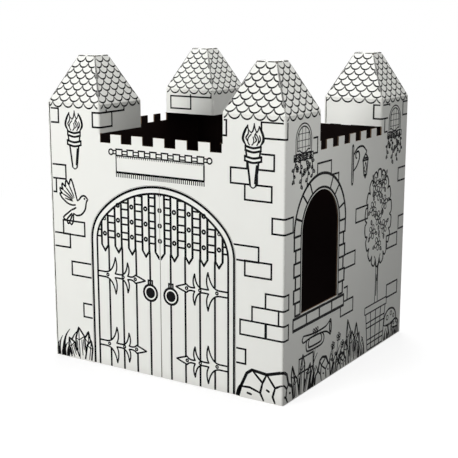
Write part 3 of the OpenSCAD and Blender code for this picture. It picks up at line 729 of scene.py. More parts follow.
def is_hidden(point):
    """True where a shape that stands further forward hides the wall."""
    return any(
        sum(
            (a.y > point.y) != (b.y > point.y) and point.x < a.x + (b.x - a.x) * (point.y - a.y) / (b.y - a.y)
            for a, b in zip(shape, shape[1:] + shape[:1])
        ) % 2
        for shape in drawn_shapes
    )


def open_runs(points):
    """Parts of a line above the foot of the wall that no shape hides, in short steps."""
    dense = [points[0]]
    for start, end in zip(points, points[1:]):
        steps = max(1, math.ceil((end - start).length / PEN_STEP))
        dense += [start.lerp(end, (i + 1) / steps) for i in range(steps)]
    runs = [[]]
    for point in dense:
        if point.y > FOOT and not is_hidden(point):
            runs[-1].append(point)
        elif runs[-1]:
            runs.append([])
    return [run for run in runs if len(run) > 1]


def stroke(sheet, points, widths):
    """Lays a flat ribbon along points, as wide at each of them as given."""
    chain = [sheet.verts.new(p) for p in points]
    edges = [sheet.edges.new(pair) for pair in zip(chain, chain[1:])]
    made = bmesh.ops.extrude_edge_only(sheet, edges=edges)["geom"]
    fresh = set(only(BMVert, made))
    last = len(chain) - 1
    for i, vert in enumerate(chain):
        twin = next(e.other_vert(vert) for e in vert.link_edges if e.other_vert(vert) in fresh)
        along = (points[min(i + 1, last)] - points[max(i - 1, 0)]).normalized()
        side = Vector((-along.y, along.x, 0)) * widths[i] / 2
        vert.co -= side
        twin.co += side


def pen_line(sheet, points, width=PEN, run_out=LOOSE):
    """Draws one line where nothing hides it. Its width falls to a share, run_out, at both ends."""
    for run in open_runs(points):
        last = len(run) - 1
        swell = [run_out + (1 - run_out) * min(1, SWELL * min(i, last - i) / last) for i in range(last + 1)]
        stroke(sheet, run, [width * share for share in swell])


def curve(sheet, points, width=PEN, run_out=LOOSE, steps=CURVE_STEPS):
    """Draws a smooth line through a few points."""
    pen_line(sheet, smooth(points, steps), width, run_out)


def ring(sheet, middle, radius, width=FINE):
    pen_line(sheet, placed(arc(1.0, 0, math.tau, RING_STEPS), middle, radius), width, EVEN)


def straights(sheet, lines, width, run_out, *place):
    """Draws the lines of a motif from point to point, moved to their place on the wall."""
    for line in lines:
        pen_line(sheet, placed(line, *place), width, run_out)


def curves(sheet, lines, width, run_out, *place, steps=CURVE_STEPS):
    """Draws the lines of a motif as smooth curves, moved to their place on the wall."""
    for line in lines:
        curve(sheet, placed(line, *place), width, run_out, steps)


def thicken(sheet):
    """Gives a flat drawing the thickness of ink."""
    bmesh.ops.recalc_face_normals(sheet, faces=sheet.faces)
    raised = bmesh.ops.extrude_face_region(sheet, geom=sheet.faces[:], use_keep_orig=True)["geom"]
    bmesh.ops.translate(sheet, vec=(0, 0, DRAWN_INK), verts=only(BMVert, raised))
    bmesh.ops.recalc_face_normals(sheet, faces=sheet.faces)


def keep_drawing(name, sheet, body):
    """Turns a drawing into a piece that rides a body."""
    piece = new_piece(name, sheet, [PRINT])
    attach(piece, body)
    print(name, len(piece.data.polygons), "faces")


def put_on_wall(name, sheet, wall, body="castle"):
    """Stands a flat drawing against a wall."""
    thicken(sheet)
    bmesh.ops.transform(sheet, matrix=WALL_STAND[wall] @ Matrix.Scale(MM, 4), verts=sheet.verts)
    keep_drawing(name, sheet, body)
    drawn_shapes.clear()


drawn_shapes = []
print("pen widths:", FINE, PEN, BOLD, "mm")

# %% [markdown]
# Plants are the bulk of the drawing, and all of them are made of a few strokes that repeat: a blade of grass,
# a leaf with a rib, a flower of five petals. A seeded random generator varies their length and lean, so the
# growth looks drawn by hand and still comes out the same in every run.

# %% Plants
BLADE = ((0, 0), (0.03, 0.4), (0.13, 0.75), (0.3, 1))
BLADE_WIDE = 9.5
BLADE_TIP = 0.12
LEAF_UPPER = ((0, 0), (0.3, 0.27), (0.7, 0.2), (1, 0))
LEAF_RIB = ((0.05, 0), (0.4, 0.02), (0.75, 0))
PETAL = ((0, 0.2), (-0.3, 0.55), (-0.26, 0.95), (0, 1.06), (0.26, 0.95), (0.3, 0.55), (0, 0.2))
PETALS = 5
EYE = 0.22
STEM = ((0, 0), (0.03, 0.5), (0.1, 1))
STEM_LEAVES = ((0.3, 30), (0.5, 150))
STEM_LEAF = 1.3
VINE_LEAF = (0.8, 1.15)
VINE_SPREAD = (45, 70)
RIB_PEN = FINE * 0.7
BLADE_TAPER = 0.6
GROUND = 3
GRASS_FOOT = 2.5
GRASS_LEAN = 16
GRASS_HEIGHTS = (0.6, 0.8, 1.0)


def blade(sheet, foot, height, lean, flip):
    """One blade of grass: a single stroke, broad at its foot, that runs out to the tip."""
    for run in open_runs(smooth(placed(BLADE, foot, height, lean, flip), steps=4)):
        left = [max(0, 1 - (p.y - foot[1]) / height) ** BLADE_TAPER for p in run]
        stroke(sheet, run, [BLADE_WIDE * (BLADE_TIP + (1 - BLADE_TIP) * share) for share in left])


def grass(sheet, seed, left, right, low, high, pitch):
    """A row of blades between two places on the wall's foot."""
    luck = random.Random(seed)
    for i in range(int((right - left) / pitch)):
        foot = (left + (i + luck.random()) * pitch, GRASS_FOOT)
        tall = luck.uniform(low, high) * luck.choice(GRASS_HEIGHTS)
        lean, flip = luck.uniform(-GRASS_LEAN, GRASS_LEAN), luck.choice((-1, 1))
        if not left < placed(BLADE, foot, tall, lean, flip)[-1].x < right:
            lean, flip = -lean, -flip
        blade(sheet, foot, tall, lean, flip)


def leaf(sheet, foot, size, turn):
    lower = [(x, -y) for x, y in LEAF_UPPER]
    curves(sheet, (LEAF_UPPER, lower), FINE, THIN, foot, size, turn, steps=3)
    curves(sheet, (LEAF_RIB,), RIB_PEN, THIN, foot, size, turn, steps=3)


def flower(sheet, middle, size, turn=0.0):
    for i in range(PETALS):
        curves(sheet, (PETAL,), FINE, FIRM, middle, size, turn + i * 360 / PETALS, steps=3)
    ring(sheet, middle, size * EYE)


def bloom(sheet, foot, height, size, lean):
    """A flower on a bent stem with two leaves."""
    stem = smooth(placed(STEM, foot, height, lean), steps=6)
    flower(sheet, stem[-1].to_2d(), size, lean)
    pen_line(sheet, stem[:-1], FINE, FIRM)
    for share, turn in STEM_LEAVES:
        leaf(sheet, stem[int(share * len(stem))].to_2d(), size * STEM_LEAF, turn + lean)


def vine(sheet, seed, points, leaf_size, pitch):
    """A stem with leaves to the left and right in turn."""
    luck = random.Random(seed)
    stem = smooth(points, steps=8)
    pen_line(sheet, stem, PEN, SLIM)
    walked, side = 0.0, 1
    for start, end in zip(stem, stem[1:]):
        walked += (end - start).length
        if walked > pitch:
            walked, side = 0.0, -side
            heading = math.degrees(math.atan2(end.y - start.y, end.x - start.x))
            long = leaf_size * luck.uniform(*VINE_LEAF)
            leaf(sheet, end.to_2d(), long, heading + side * luck.uniform(*VINE_SPREAD))


print("plants are ready to draw")

# %% [markdown]
# Stones and crystals are closed outlines with a few ridges inside, in a bolder pen than the plants. Each is a
# short list of points in a unit square, stretched to its size, so one list serves for many stones. The big
# rock at the front right corner goes over the fold, so each of the two walls has its own half.

# %% Stones and crystals
CRYSTAL_EDGE = ((-0.5, 0), (-0.46, 0.66), (-0.1, 1), (0.42, 0.74), (0.5, 0))
CRYSTAL_RIDGES = (
    ((-0.1, 0.98), (-0.14, 0.6), (-0.16, 0)), ((-0.46, 0.66), (-0.14, 0.6)), ((-0.14, 0.6), (0.42, 0.74)),
    ((0.12, 0.62), (0.14, 0.12)), ((0.28, 0.64), (0.3, 0.3)), ((-0.32, 0.58), (-0.33, 0.2)),
)
HATCHED = 30
PLAIN_RIDGES = 3
RIDGE_PEN = FINE * 1.1
BOULDER_EDGE = (
    (0, 0), (0.05, 0.38), (0.2, 0.5), (0.3, 0.9), (0.46, 1), (0.7, 0.92), (0.84, 0.6), (0.95, 0.52), (1, 0)
)
BOULDER_RIDGES = (
    ((0.3, 0.9), (0.4, 0.66), (0.7, 0.92)), ((0.4, 0.66), (0.36, 0.3), (0.42, 0)), ((0.2, 0.5), (0.36, 0.3)),
    ((0.84, 0.6), (0.68, 0.4), (0.4, 0.66)), ((0.68, 0.4), (0.72, 0)), ((0.5, 0.3), (0.58, 0.24)),
    ((0.8, 0.36), (0.87, 0.3)),
)
BOULDER_PEN = BOLD * 1.25
BOULDER_RIDGE_PEN = PEN * 1.2
ROCK_FRONT = ((709, 3), (718, 34), (738, 78), (756, 91), (806, 86), (853, 100))
ROCK_FRONT_RIDGES = (
    ((756, 91), (792, 58), (806, 86)), ((792, 58), (784, 26), (796, 3)), ((718, 34), (748, 36), (784, 26)),
    ((806, 86), (834, 50), (853, 61)), ((834, 50), (826, 22), (834, 3)), ((804, 40), (816, 34)),
    ((738, 18), (756, 15)),
)
ROCK_SIDE = ((7, 100), (22, 90), (32, 58), (54, 44), (62, 3))
ROCK_SIDE_RIDGES = (
    ((7, 61), (22, 46), (32, 58)), ((22, 46), (18, 20), (28, 3)), ((7, 26), (18, 20)), ((36, 30), (46, 26)),
)
ROCK_PEN = BOLD * 1.45
ROCK_RIDGE_PEN = BOLD * 1.05
CAP = ((-0.5, 0.55), (-0.42, 0.82), (-0.2, 0.98), (0.05, 1), (0.3, 0.92), (0.46, 0.74), (0.5, 0.55))
CAP_RIM = ((-0.5, 0.55), (-0.25, 0.47), (0, 0.45), (0.25, 0.47), (0.5, 0.55))
STALK = ((0.12, 0.46), (0.1, 0.25), (0.15, 0.02))
GILL = ((0.05, 0.47), (0.11, 0.52))
GILLS = range(-3, 4)
CAP_SPOTS = ((-0.2, 0.74, 0.08), (0.1, 0.82, 0.07), (0.3, 0.68, 0.06))


def spot(point, *place):
    """One point of a motif, moved to its place on the wall."""
    return placed([point], *place)[0].to_2d()


def stone(sheet, edge, ridges, wide, tall, place, edge_pen, ridge_pen):
    """A stone: a bold edge, then its ridges. It hides what is drawn after it."""
    edge, *ridges = [[(x * wide, y * tall) for x, y in line] for line in (edge, *ridges)]
    outline = placed(edge, *place)
    pen_line(sheet, outline, edge_pen, BLUNT)
    straights(sheet, ridges, ridge_pen, SLIM, *place)
    drawn_shapes.append(outline)


def crystals(sheet, rows):
    """Pointed crystals. A row is a place along the wall, width, height, lean and flip."""
    for x, wide, tall, lean, flip in rows:
        ridges = CRYSTAL_RIDGES if wide > HATCHED else CRYSTAL_RIDGES[:PLAIN_RIDGES]
        stone(sheet, CRYSTAL_EDGE, ridges, wide, tall, ((x, GROUND), 1, lean, flip), BOLD, RIDGE_PEN)


def boulder(sheet, x, wide, tall):
    stone(sheet, BOULDER_EDGE, BOULDER_RIDGES, wide, tall, ((x, GROUND),), BOULDER_PEN, BOULDER_RIDGE_PEN)


def corner_rock(sheet, edge, ridges):
    """One half of the big rock that goes round a corner. Its highest point is on the fold."""
    pen_line(sheet, placed(edge), ROCK_PEN, EVEN)
    straights(sheet, ridges, ROCK_RIDGE_PEN, SLIM)
    fold = max(edge, key=lambda point: point[1])[0]
    drawn_shapes.append(placed((*edge, (fold, GROUND))))


def toadstool(sheet, x, size, lean):
    """A round-capped mushroom with gills and spots."""
    place = ((x, GROUND), size, lean)
    curves(sheet, (CAP,), BOLD, BLUNT, *place)
    curves(sheet, (CAP_RIM,), PEN, BLUNT, *place)
    stalk = [[(side * x, y) for x, y in STALK] for side in (-1, 1)]
    curves(sheet, stalk, PEN, FIRM, *place)
    gills = [[(i * x, y) for x, y in GILL] for i in GILLS]
    straights(sheet, gills, FINE, FIRM, *place)
    for across, up, radius in CAP_SPOTS:
        ring(sheet, spot((across, up), *place), radius * size)
    drawn_shapes.append(smooth(placed(CAP, *place)))


print("stones are ready to draw")

# %% [markdown]
# ## Front wall
# A bird in flight is printed on the left of the front wall. It is a few smooth curves through given points: a
# body, a raised wing with feathers that fan out from its root, and a tail.

# %% Bird
BIRD_LINES = (
    ((55, 12), (51, 17), (42, 24), (30, 22), (20, 12), (12, 5)),
    ((55, 12), (49, 6), (46, -6), (42, -20), (28, -36), (8, -42), (-6, -36)),
    ((-14, -26), (-4, -22), (6, -16)),
)
BIRD_WING = (
    (12, 5), (6, 24), (-2, 50), (-12, 74), (-19, 62), (-22, 54), (-32, 69), (-36, 56), (-36, 46), (-49, 57),
    (-50, 45), (-46, 36), (-59, 42), (-56, 30), (-50, 24), (-60, 24), (-54, 12), (-44, 4), (-28, -6),
    (-10, -10), (4, -8),
)
BIRD_FEATHERS = ((-22, 54), (-36, 46), (-46, 36), (-50, 24), (-40, 10))
FEATHER_ROOT = 4
FEATHER_SHARES = (0.5, 0.25)
BIRD_TAIL = (
    (-14, -26), (-30, -38), (-48, -52), (-42, -60), (-34, -62), (-30, -72), (-22, -68), (-16, -74), (-8, -62),
    (-6, -36),
)
BIRD_TAIL_LINES = (((-12, -36), (-24, -48), (-36, -60)), ((-10, -40), (-18, -56), (-24, -67)))
BIRD_BEAK = ((46, 10), (52, 10))
BIRD_EYE = (41, 15)
BIRD_EYE_SIZE = 1.8
BIRD_PEN = 6.0


def bird(sheet, middle):
    curves(sheet, (*BIRD_LINES, *BIRD_TAIL_LINES), BIRD_PEN, SLIM, middle)
    curves(sheet, (BIRD_WING, BIRD_TAIL), BIRD_PEN, BLUNT, middle, steps=3)
    feathers = [
        ((x, y), *((x * share + FEATHER_ROOT, y * share) for share in FEATHER_SHARES))
        for x, y in BIRD_FEATHERS
    ]
    curves(sheet, feathers, PEN, KEEN, middle, steps=4)
    straights(sheet, (BIRD_BEAK,), FINE, THIN, middle)
    ring(sheet, spot(BIRD_EYE, middle), BIRD_EYE_SIZE)


print("the bird has", len(BIRD_FEATHERS), "feathers")

# %% [markdown]
# Two torches and a cloth on a pole are in the frame's print already, with an even thin line. In the real
# print their lines are broader. So a broad pen goes over them, and adds tongues to the flames, a fringe to
# the cloth and gathers to its upper edge.

# %% Torches, pole and cloth
TORCH_FEET = ((104, 630), (756, 630))
TORCH_TALL = 180
FLAME_SIDES = (
    ((-0.13, 0.66), (-0.185, 0.75), (-0.165, 0.85), (-0.1, 0.97)),
    ((0.13, 0.66), (0.185, 0.75), (0.17, 0.85), (0.11, 0.96)),
)
FLAME_TONGUES = (
    ((-0.03, 0.86), (0, 0.9), (0.02, 1)), ((-0.1, 0.72), (-0.13, 0.78), (-0.09, 0.84), (-0.09, 0.9)),
    ((0.02, 0.7), (0.06, 0.75), (0.03, 0.81), (0.06, 0.88)), ((0.1, 0.7), (0.13, 0.76), (0.11, 0.83)),
)
TORCH_STEM = (((-0.05, 0.03), (-0.1, 0.4)), ((0.05, 0.03), (0.1, 0.4)), ((0.035, 0.06), (0.07, 0.36)))
TORCH_COLLARS = ((0.15, 0.42), (0.15, 0.49), (0.14, 0.585), (0.14, 0.65))
COLLAR_SAG = 0.03
FLAME_PEN = BOLD * 1.2
HEM = ((269, 633), (591, 633))
HEM_SIDE = 46
HEM_SIDE_PEN = PEN * 1.2
HAIRS = 44
HAIR_DROP = 15
POLE_HIGH = 694
POLE_RINGS = 8
POLE_RING_START = 280.9
POLE_RING_PITCH = 42.6
POLE_RING = ((-10.7, -8.8), (10.7, -8.8), (10.7, 8.8), (-10.7, 8.8), (-10.7, -8.8))
POLE_KNOBS = (249.9, 610.1)
KNOB_SIZE = 8.4
CLOTH_TOP = 684
CLOTH_TICKS = 46
TICK_DROP = 7
TICK_PEN = FINE * 0.8


def torch(sheet, foot):
    place = (foot, TORCH_TALL)
    curves(sheet, FLAME_SIDES, FLAME_PEN, KEEN, *place)
    curves(sheet, FLAME_TONGUES, PEN, SHARP, *place)
    straights(sheet, TORCH_STEM, BOLD, BLUNT, *place)
    collars = [((-half, z), (0, z - COLLAR_SAG), (half, z)) for half, z in TORCH_COLLARS]
    curves(sheet, collars, BOLD, BLUNT, *place)


def comb(sheet, left, right, spaces, ends, drop, width, run_out):
    """Short lines that hang from a level one at even spaces, at its ends too if asked for."""
    for i in range(spaces + 1) if ends else range(1, spaces):
        top = left.lerp(right, i / spaces)
        pen_line(sheet, [top, top - Vector((0, drop, 0))], width, run_out)


def hem(sheet):
    """The lower edge and the fringe of the hanging cloth."""
    left, right = placed(HEM)
    pen_line(sheet, [left, right], BOLD, EVEN)
    pen_line(sheet, [right, right + Vector((0, HEM_SIDE, 0))], HEM_SIDE_PEN, EVEN)
    comb(sheet, left, right, HAIRS, True, HAIR_DROP, FINE, EVEN)


def pole(sheet):
    """The square rings and the knobs of the pole, and the gathered upper edge of the cloth."""
    for i in range(POLE_RINGS):
        straights(sheet, (POLE_RING,), FINE, EVEN, (POLE_RING_START + i * POLE_RING_PITCH, POLE_HIGH))
    for x in POLE_KNOBS:
        ring(sheet, (x, POLE_HIGH), KNOB_SIZE, PEN)
    left, right = placed([(x, CLOTH_TOP) for x, y in HEM])
    pen_line(sheet, [left, right], FINE, EVEN)
    comb(sheet, left, right, CLOTH_TICKS, False, TICK_DROP, TICK_PEN, KEEN)


print("torches, pole and cloth are ready to draw")

# %% [markdown]
# Crystals and grass stand at the foot of the left tower, and one half of a rock at the foot of the right one.
# What stands in front is drawn first, and its outline is kept. Lines that come later stop at the outlines, so
# they seem to go on behind.

# %% Front drawing
BIRD_PLACE = (98, 522)
FRONT_CRYSTALS = ((84, 32, 70, 20, 1), (136, 26, 70, -9, -1), (108, 42, 106, 3, 1), (131, 28, 98, -3, -1))
# Place along the wall, height and lean
LEFT_BLADES = ((15, 66, 5), (27, 96, -3), (38, 82, 7), (52, 102, -8))
RIGHT_BLADES = ((705, 40, -4), (711, 60, -4), (719, 54, -4))


def front_drawing():
    sheet = bmesh.new()
    pole(sheet)
    bird(sheet, BIRD_PLACE)
    hem(sheet)
    for foot in TORCH_FEET:
        torch(sheet, foot)
    crystals(sheet, FRONT_CRYSTALS)
    for x, tall, lean in LEFT_BLADES:
        blade(sheet, (x, GROUND), tall, lean, 1)
    grass(sheet, seed=3, left=8, right=62, low=40, high=74, pitch=12)
    corner_rock(sheet, ROCK_FRONT, ROCK_FRONT_RIDGES)
    for x, tall, lean in RIGHT_BLADES:
        blade(sheet, (x, GROUND), tall, lean, 1)
    put_on_wall("front_pen_drawing", sheet, "front")


front_drawing()

# %% [markdown]
# On the door a broad pen goes over the print too. Each half of the arch is two arcs on an upright post, a
# small one at the haunch and a large one over the crown, which meet without a kink. The radius of the large
# one follows from that. The bars of the grille end under the arch, and bolts hold them where they cross.

# %% Arch and grille of the door
DOOR_MIDDLE = 430
DOOR_HALF = 270
SPRING = 410
ARCH_RISE = 196
HAUNCH = 140
ARCH_STEPS = 24
ARCH_LINES = ((6.2, 7.4), (26.3, 6.8))
GRILLE_IN = 29
BAR_PITCH = 53
BAR_HALVES = (19.3, 14.8, 14.8, 14.8, 14.8)
BAR_LOW = 400
BAR_TIP = 378
SEAM_IN = 3
BOLT_ROWS = ((436, 5), (483, 4), (530, 4))
BOLT_SIZE = 5.8
BOLT_TURN = math.radians(75)
BOLT_STEPS = 10
PLANK_ENDS = (3.6, 396)


def on_leaf(points, flip, z=0):
    """Points of one half of the door, moved to their leaf."""
    return placed(points, (DOOR_MIDDLE, z), 1, 0, flip)


def half_arch(inset):
    """Half of the door arch, set in from its opening, from the foot of the leaf to the crown."""
    half, rise, haunch = DOOR_HALF - inset, ARCH_RISE - inset, HAUNCH - inset
    crown = (half * half - 2 * half * haunch + rise * rise) / (2 * (rise - haunch))
    turn = math.atan((crown - rise) / (half - haunch))
    line = [(half, PLANK_ENDS[0])]
    for centre, radius, start, end in (
        ((half - haunch, SPRING), haunch, 0, turn), ((0, SPRING + rise - crown), crown, turn, math.pi / 2)
    ):
        line += [(centre[0] + x, centre[1] + z) for x, z in arc(radius, start, end, ARCH_STEPS)]
    return line


def grille_bar(sheet, i, flip, arch):
    """One pointed bar of the grille. The seam halves the middle one."""
    for side in (-1, 1) if i else (1,):
        edge = i * BAR_PITCH + side * BAR_HALVES[i]
        top = max(z for x, z in arch if x >= edge)
        tip = (i * BAR_PITCH if i else SEAM_IN, BAR_TIP)
        pen_line(sheet, on_leaf(((edge, top), (edge, BAR_LOW), tip), flip), FINE, EVEN)


def bolts(sheet, flip):
    """Rows of round bolts on the bars. The seam halves the middle ones."""
    for z, count in BOLT_ROWS:
        pen_line(sheet, on_leaf(arc(BOLT_SIZE, -BOLT_TURN, BOLT_TURN, BOLT_STEPS), flip, z), PEN, EVEN)
        for i in range(1, count):
            ring(sheet, (DOOR_MIDDLE + flip * i * BAR_PITCH, z), BOLT_SIZE, PEN)


print("the grille has", 2 * len(BAR_HALVES) - 1, "bars")

# %% [markdown]
# A strap hinge of wrought iron is a row of bent lines. A bend is a Bezier curve whose two handles point at
# the same place, and interpolate_bezier gives the points along it. Each leaf has its own half of the
# drawing, which ends at the seam and rides the leaf, so it swings open with the board.

# %% Door drawing
PLANKS = (38.5, 91.5, 144.5, 197.5)
PLANK_PEN = 6.8
STRAP_ROOTS = ((240.9, 77), (240.9, 304))
STRAP_LENGTH = 183
STRAP_PEN = 5.2
STRAP_BENDS = (
    ((0, 0.045), (0.08, 0.045), (0.16, 0.045)), ((0.16, 0.045), (0.32, 0.06), (0.37, 0.32)),
    ((0.37, 0.32), (0.43, 0.14), (0.36, 0.035)), ((0.36, 0.035), (0.43, 0.03), (0.5, 0.035)),
    ((0.5, 0.035), (0.61, 0.06), (0.63, 0.26)), ((0.63, 0.26), (0.69, 0.12), (0.63, 0.03)),
    ((0.63, 0.03), (0.66, 0.025), (0.7, 0.025)), ((0.7, 0.025), (0.76, 0.03), (0.79, 0.07)),
    ((0.79, 0.07), (0.9, 0.04), (1, 0)),
)
STRAP_BOLTS = (0.2, 0.53, 0.79)
STRAP_BOLT_SIZE = BOLT_SIZE * 0.8
BEND_PULL = 2 / 3
BEND_STEPS = 7
HANDLE = (38.5, 269)
HANDLE_RINGS = ((25.4, 7.2), (14.0, 6.0))
HANDLE_EDGE = ((-27, 27), (27, 27), (27, -27), (-27, -27))


def bend(start, pull, end):
    return interpolate_bezier(start, start.lerp(pull, BEND_PULL), end.lerp(pull, BEND_PULL), end, BEND_STEPS)


def strap(sheet, root, flip):
    """A strap hinge with two pairs of barbs and a pointed end."""
    for share in STRAP_BOLTS:
        ring(sheet, (root[0] - flip * share * STRAP_LENGTH, root[1]), STRAP_BOLT_SIZE)
    outline = []
    for side in (1, -1):
        edge = []
        for line in STRAP_BENDS:
            edge += bend(*placed([(x, side * y) for x, y in line], root, STRAP_LENGTH, 0, -flip))
        pen_line(sheet, edge, STRAP_PEN, EVEN)
        outline += edge[::side]
    drawn_shapes.append(outline)


def door_drawing(side, flip):
    sheet = bmesh.new()
    low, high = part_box(f"{side}_door_leaf")
    seam = abs(low.x if flip > 0 else high.x) / MM
    for inset, width in ARCH_LINES:
        arch = half_arch(inset)
        pen_line(sheet, on_leaf((*arch[:-1], (seam, arch[-1][1])), flip), width, EVEN)
    for i in range(len(BAR_HALVES)):
        grille_bar(sheet, i, flip, half_arch(GRILLE_IN))
    bolts(sheet, flip)
    handle = (DOOR_MIDDLE + flip * HANDLE[0], HANDLE[1])
    for radius, width in HANDLE_RINGS:
        ring(sheet, handle, radius, width)
    drawn_shapes.append(placed(HANDLE_EDGE, handle))
    for x, z in STRAP_ROOTS:
        strap(sheet, (DOOR_MIDDLE + flip * x, z), flip)
    for x in PLANKS:
        pen_line(sheet, on_leaf([(x, z) for z in PLANK_ENDS], flip), PLANK_PEN, EVEN)
    put_on_wall(f"{side}_leaf_pen_drawing", sheet, "front", f"{side}_leaf")


door_drawing("left", -1)
door_drawing("right", 1)

# %% [markdown]
# ## Side walls
# Dressed stones frame the big window: wedges round its arch, long and short stones by turns up its sides, and
# a sill in four lengths. The frame's print has them with a thin line, so a broad pen goes over them.

# %% Stones round the side window
WINDOW_SPRING = (218, 487.5)
WINDOW_SILL = 253
STONE_ARCHES = ((122.3, 7.0), (163.5, 8.6))
STONE_TURNS = (-90, -71, -45, -27, 27, 45, 71, 90)
STONE_STEPS = 32
STONE_PEN = 6.8
JAMBS = 6
JAMB_ENDS = (152, 161.5)
SILL_ENDS = (211.5, 244)
SILL_JOINTS = (-1, -0.5, 0, 0.5, 1)


def window_stones(sheet):
    for radius, width in STONE_ARCHES:
        pen_line(sheet, placed(arc(radius, 0, math.pi, STONE_STEPS), WINDOW_SPRING), width, EVEN)
    inner, outer = (radius for radius, width in STONE_ARCHES)
    for turn in STONE_TURNS:
        straights(sheet, (((0, inner), (0, outer)),), STONE_PEN, EVEN, WINDOW_SPRING, 1, turn)
    x, z = WINDOW_SPRING
    for i in range(JAMBS):
        low, high = (z + (WINDOW_SILL - z) * share / JAMBS for share in (JAMBS - i, JAMBS - i - 1))
        end = JAMB_ENDS[i % 2]
        for side in (-1, 1):
            jamb = ((inner, low), (end, low), (end, high), (inner, high))
            straights(sheet, (jamb,), STONE_PEN, EVEN, (x, 0), 1, 0, side)
    edges = [((-outer, end), (outer, end)) for end in SILL_ENDS]
    joints = [[(share * outer, end) for end in SILL_ENDS] for share in SILL_JOINTS]
    straights(sheet, edges + joints, STONE_PEN, EVEN, (x, 0))


print("the window has", 2 * JAMBS, "stones at its sides")

# %% [markdown]
# A bugle hangs below the window, and a lantern beside it on a scrolled iron bracket. The tubes of the bugle
# are pairs of smooth curves, and its bell is two ovals, one inside the other.

# %% Bugle and lantern
BUGLE_LINES = (
    ((8, 62), (14, 66), (60, 60), (120, 58), (160, 62), (186, 76)),
    ((8, 48), (14, 46), (60, 50), (120, 48), (160, 42), (186, 26)),
    ((8, 62), (4, 55), (8, 48)),
    ((40, 50), (30, 42), (30, 22), (44, 12), (120, 10), (142, 20), (142, 36), (132, 47)),
    ((52, 49), (44, 40), (44, 28), (52, 22), (116, 21), (128, 28), (127, 38), (120, 47)),
)
BUGLE_PEN = BOLD * 0.9
BELL_MIDDLE = (186, 51)
BELL_SQUASH = 0.26
BELL_SIZES = (25, 17)
BELL_STEPS = 20
BUGLE_BANDS = (78, 88, 98)
BAND_ENDS = (46, 62)
BUGLE_KEYS = (76, 88, 100)
KEY_HIGH = 68
KEY_SIZE = 4.5
BRACKET_LINES = (
    ((2, 0), (2, 112)), ((12, 0), (12, 112)), ((2, 0), (7, -5), (12, 0)), ((2, 112), (7, 118), (12, 112)),
    ((12, 86), (40, 106), (76, 108), (100, 94)),
    ((12, 36), (36, 50), (54, 74), (48, 94), (30, 92), (28, 78), (37, 74)),
    ((100, 94), (106, 88), (100, 82)),
)
LANTERN_LINES = (
    ((84, 68), (100, 82), (116, 68), (84, 68)), ((84, 68), (79, 61), (121, 61), (116, 68)),
    ((82, 61), (90, 14), (110, 14), (118, 61)), ((92, 14), (100, 4), (108, 14)),
)
LANTERN_FLAME = ((100, 20), (91, 32), (97, 42), (101, 54), (109, 36), (100, 20))


def bugle(sheet, origin):
    curves(sheet, BUGLE_LINES, BUGLE_PEN, FIRM, origin)
    middle_x, middle_y = BELL_MIDDLE
    for size in BELL_SIZES:
        oval = [(middle_x + BELL_SQUASH * x, middle_y + y) for x, y in arc(size, 0, math.tau, BELL_STEPS)]
        straights(sheet, (oval,), PEN, EVEN, origin)
    straights(sheet, [[(x, y) for y in BAND_ENDS] for x in BUGLE_BANDS], PEN, BLUNT, origin)
    for x in BUGLE_KEYS:
        ring(sheet, spot((x, KEY_HIGH), origin), KEY_SIZE)


def bracket(sheet, origin):
    curves(sheet, BRACKET_LINES, BOLD, FIRM, origin)
    straights(sheet, LANTERN_LINES, BOLD, BLUNT, origin)
    curves(sheet, (LANTERN_FLAME,), PEN, FIRM, origin, steps=3)


print("bugle and lantern are ready to draw")

# %% [markdown]
# Plants hang from the boxes under the tower windows, and a small tree in a tub stands at the far end. The
# crown of the tree is an oval of round bumps, filled with flowers and leaves.

# %% Hanging plants and tree
HANGING = (
    ((10, 20), (2, -6), (-8, -34), (-2, -62)), ((34, 20), (32, -14), (40, -46), (34, -80)),
    ((62, 20), (66, -8), (78, -34), (72, -70)), ((90, 20), (98, -4), (106, -28), (104, -52)),
)
HANGING_FLOWERS = ((4, 8), (24, 12), (46, 8), (70, 12), (92, 8), (14, -22), (56, -34), (84, -20))
HANGING_FLOWER_SIZE = 8.5
HANGING_FLOWER_TURN = 20
TUB_LINES = (
    ((-86, 128), (86, 128), (86, 152), (-86, 152), (-86, 128)), ((-77, 128), (-60, 0), (60, 0), (77, 128)),
    ((-73, 96), (73, 96)), ((-70, 78), (70, 78)), ((-65, 36), (65, 36)), ((-63, 20), (63, 20)),
    ((-40, 128), (-32, 0)), ((0, 128), (0, 0)), ((40, 128), (32, 0)),
)
TRUNK_LINES = (
    ((-11, 152), (-8, 220), (-10, 290), (-24, 316)), ((11, 152), (8, 220), (10, 290), (24, 316)),
    ((-3, 176), (-1, 214), (-4, 250)), ((3, 226), (4, 262), (2, 286)),
)
CROWN_MIDDLE = 440
CROWN_WIDE = 88
CROWN_TALL = 138
CROWN_BUMPS = 18
BUMP_OUT = 1.17
BUMP = ((0, 1), (0.2, BUMP_OUT), (0.8, BUMP_OUT), (1, 1))
ROSES = ((0, 0), (-44, 40), (44, 46), (0, 84), (-46, -38), (46, -36), (0, -84), (-30, 116), (34, 120))
ROSE_SIZE = 23
ROSE_TURN = 31
ROSE_LEAVES = (35, 155, 275)
ROSE_LEAF_TURN = 47
ROSE_LEAF_OUT = ROSE_SIZE * 1.05
ROSE_LEAF_SIZE = ROSE_SIZE * 0.8


def hanging_plant(sheet, seed, origin):
    """Trailing stems with leaves and a few flowers, below a tower window."""
    for i, stem in enumerate(HANGING):
        vine(sheet, seed + i, placed(stem, origin), leaf_size=15, pitch=13)
    for x, y in HANGING_FLOWERS:
        flower(sheet, (origin[0] + x, origin[1] + y), HANGING_FLOWER_SIZE, HANGING_FLOWER_TURN * x)


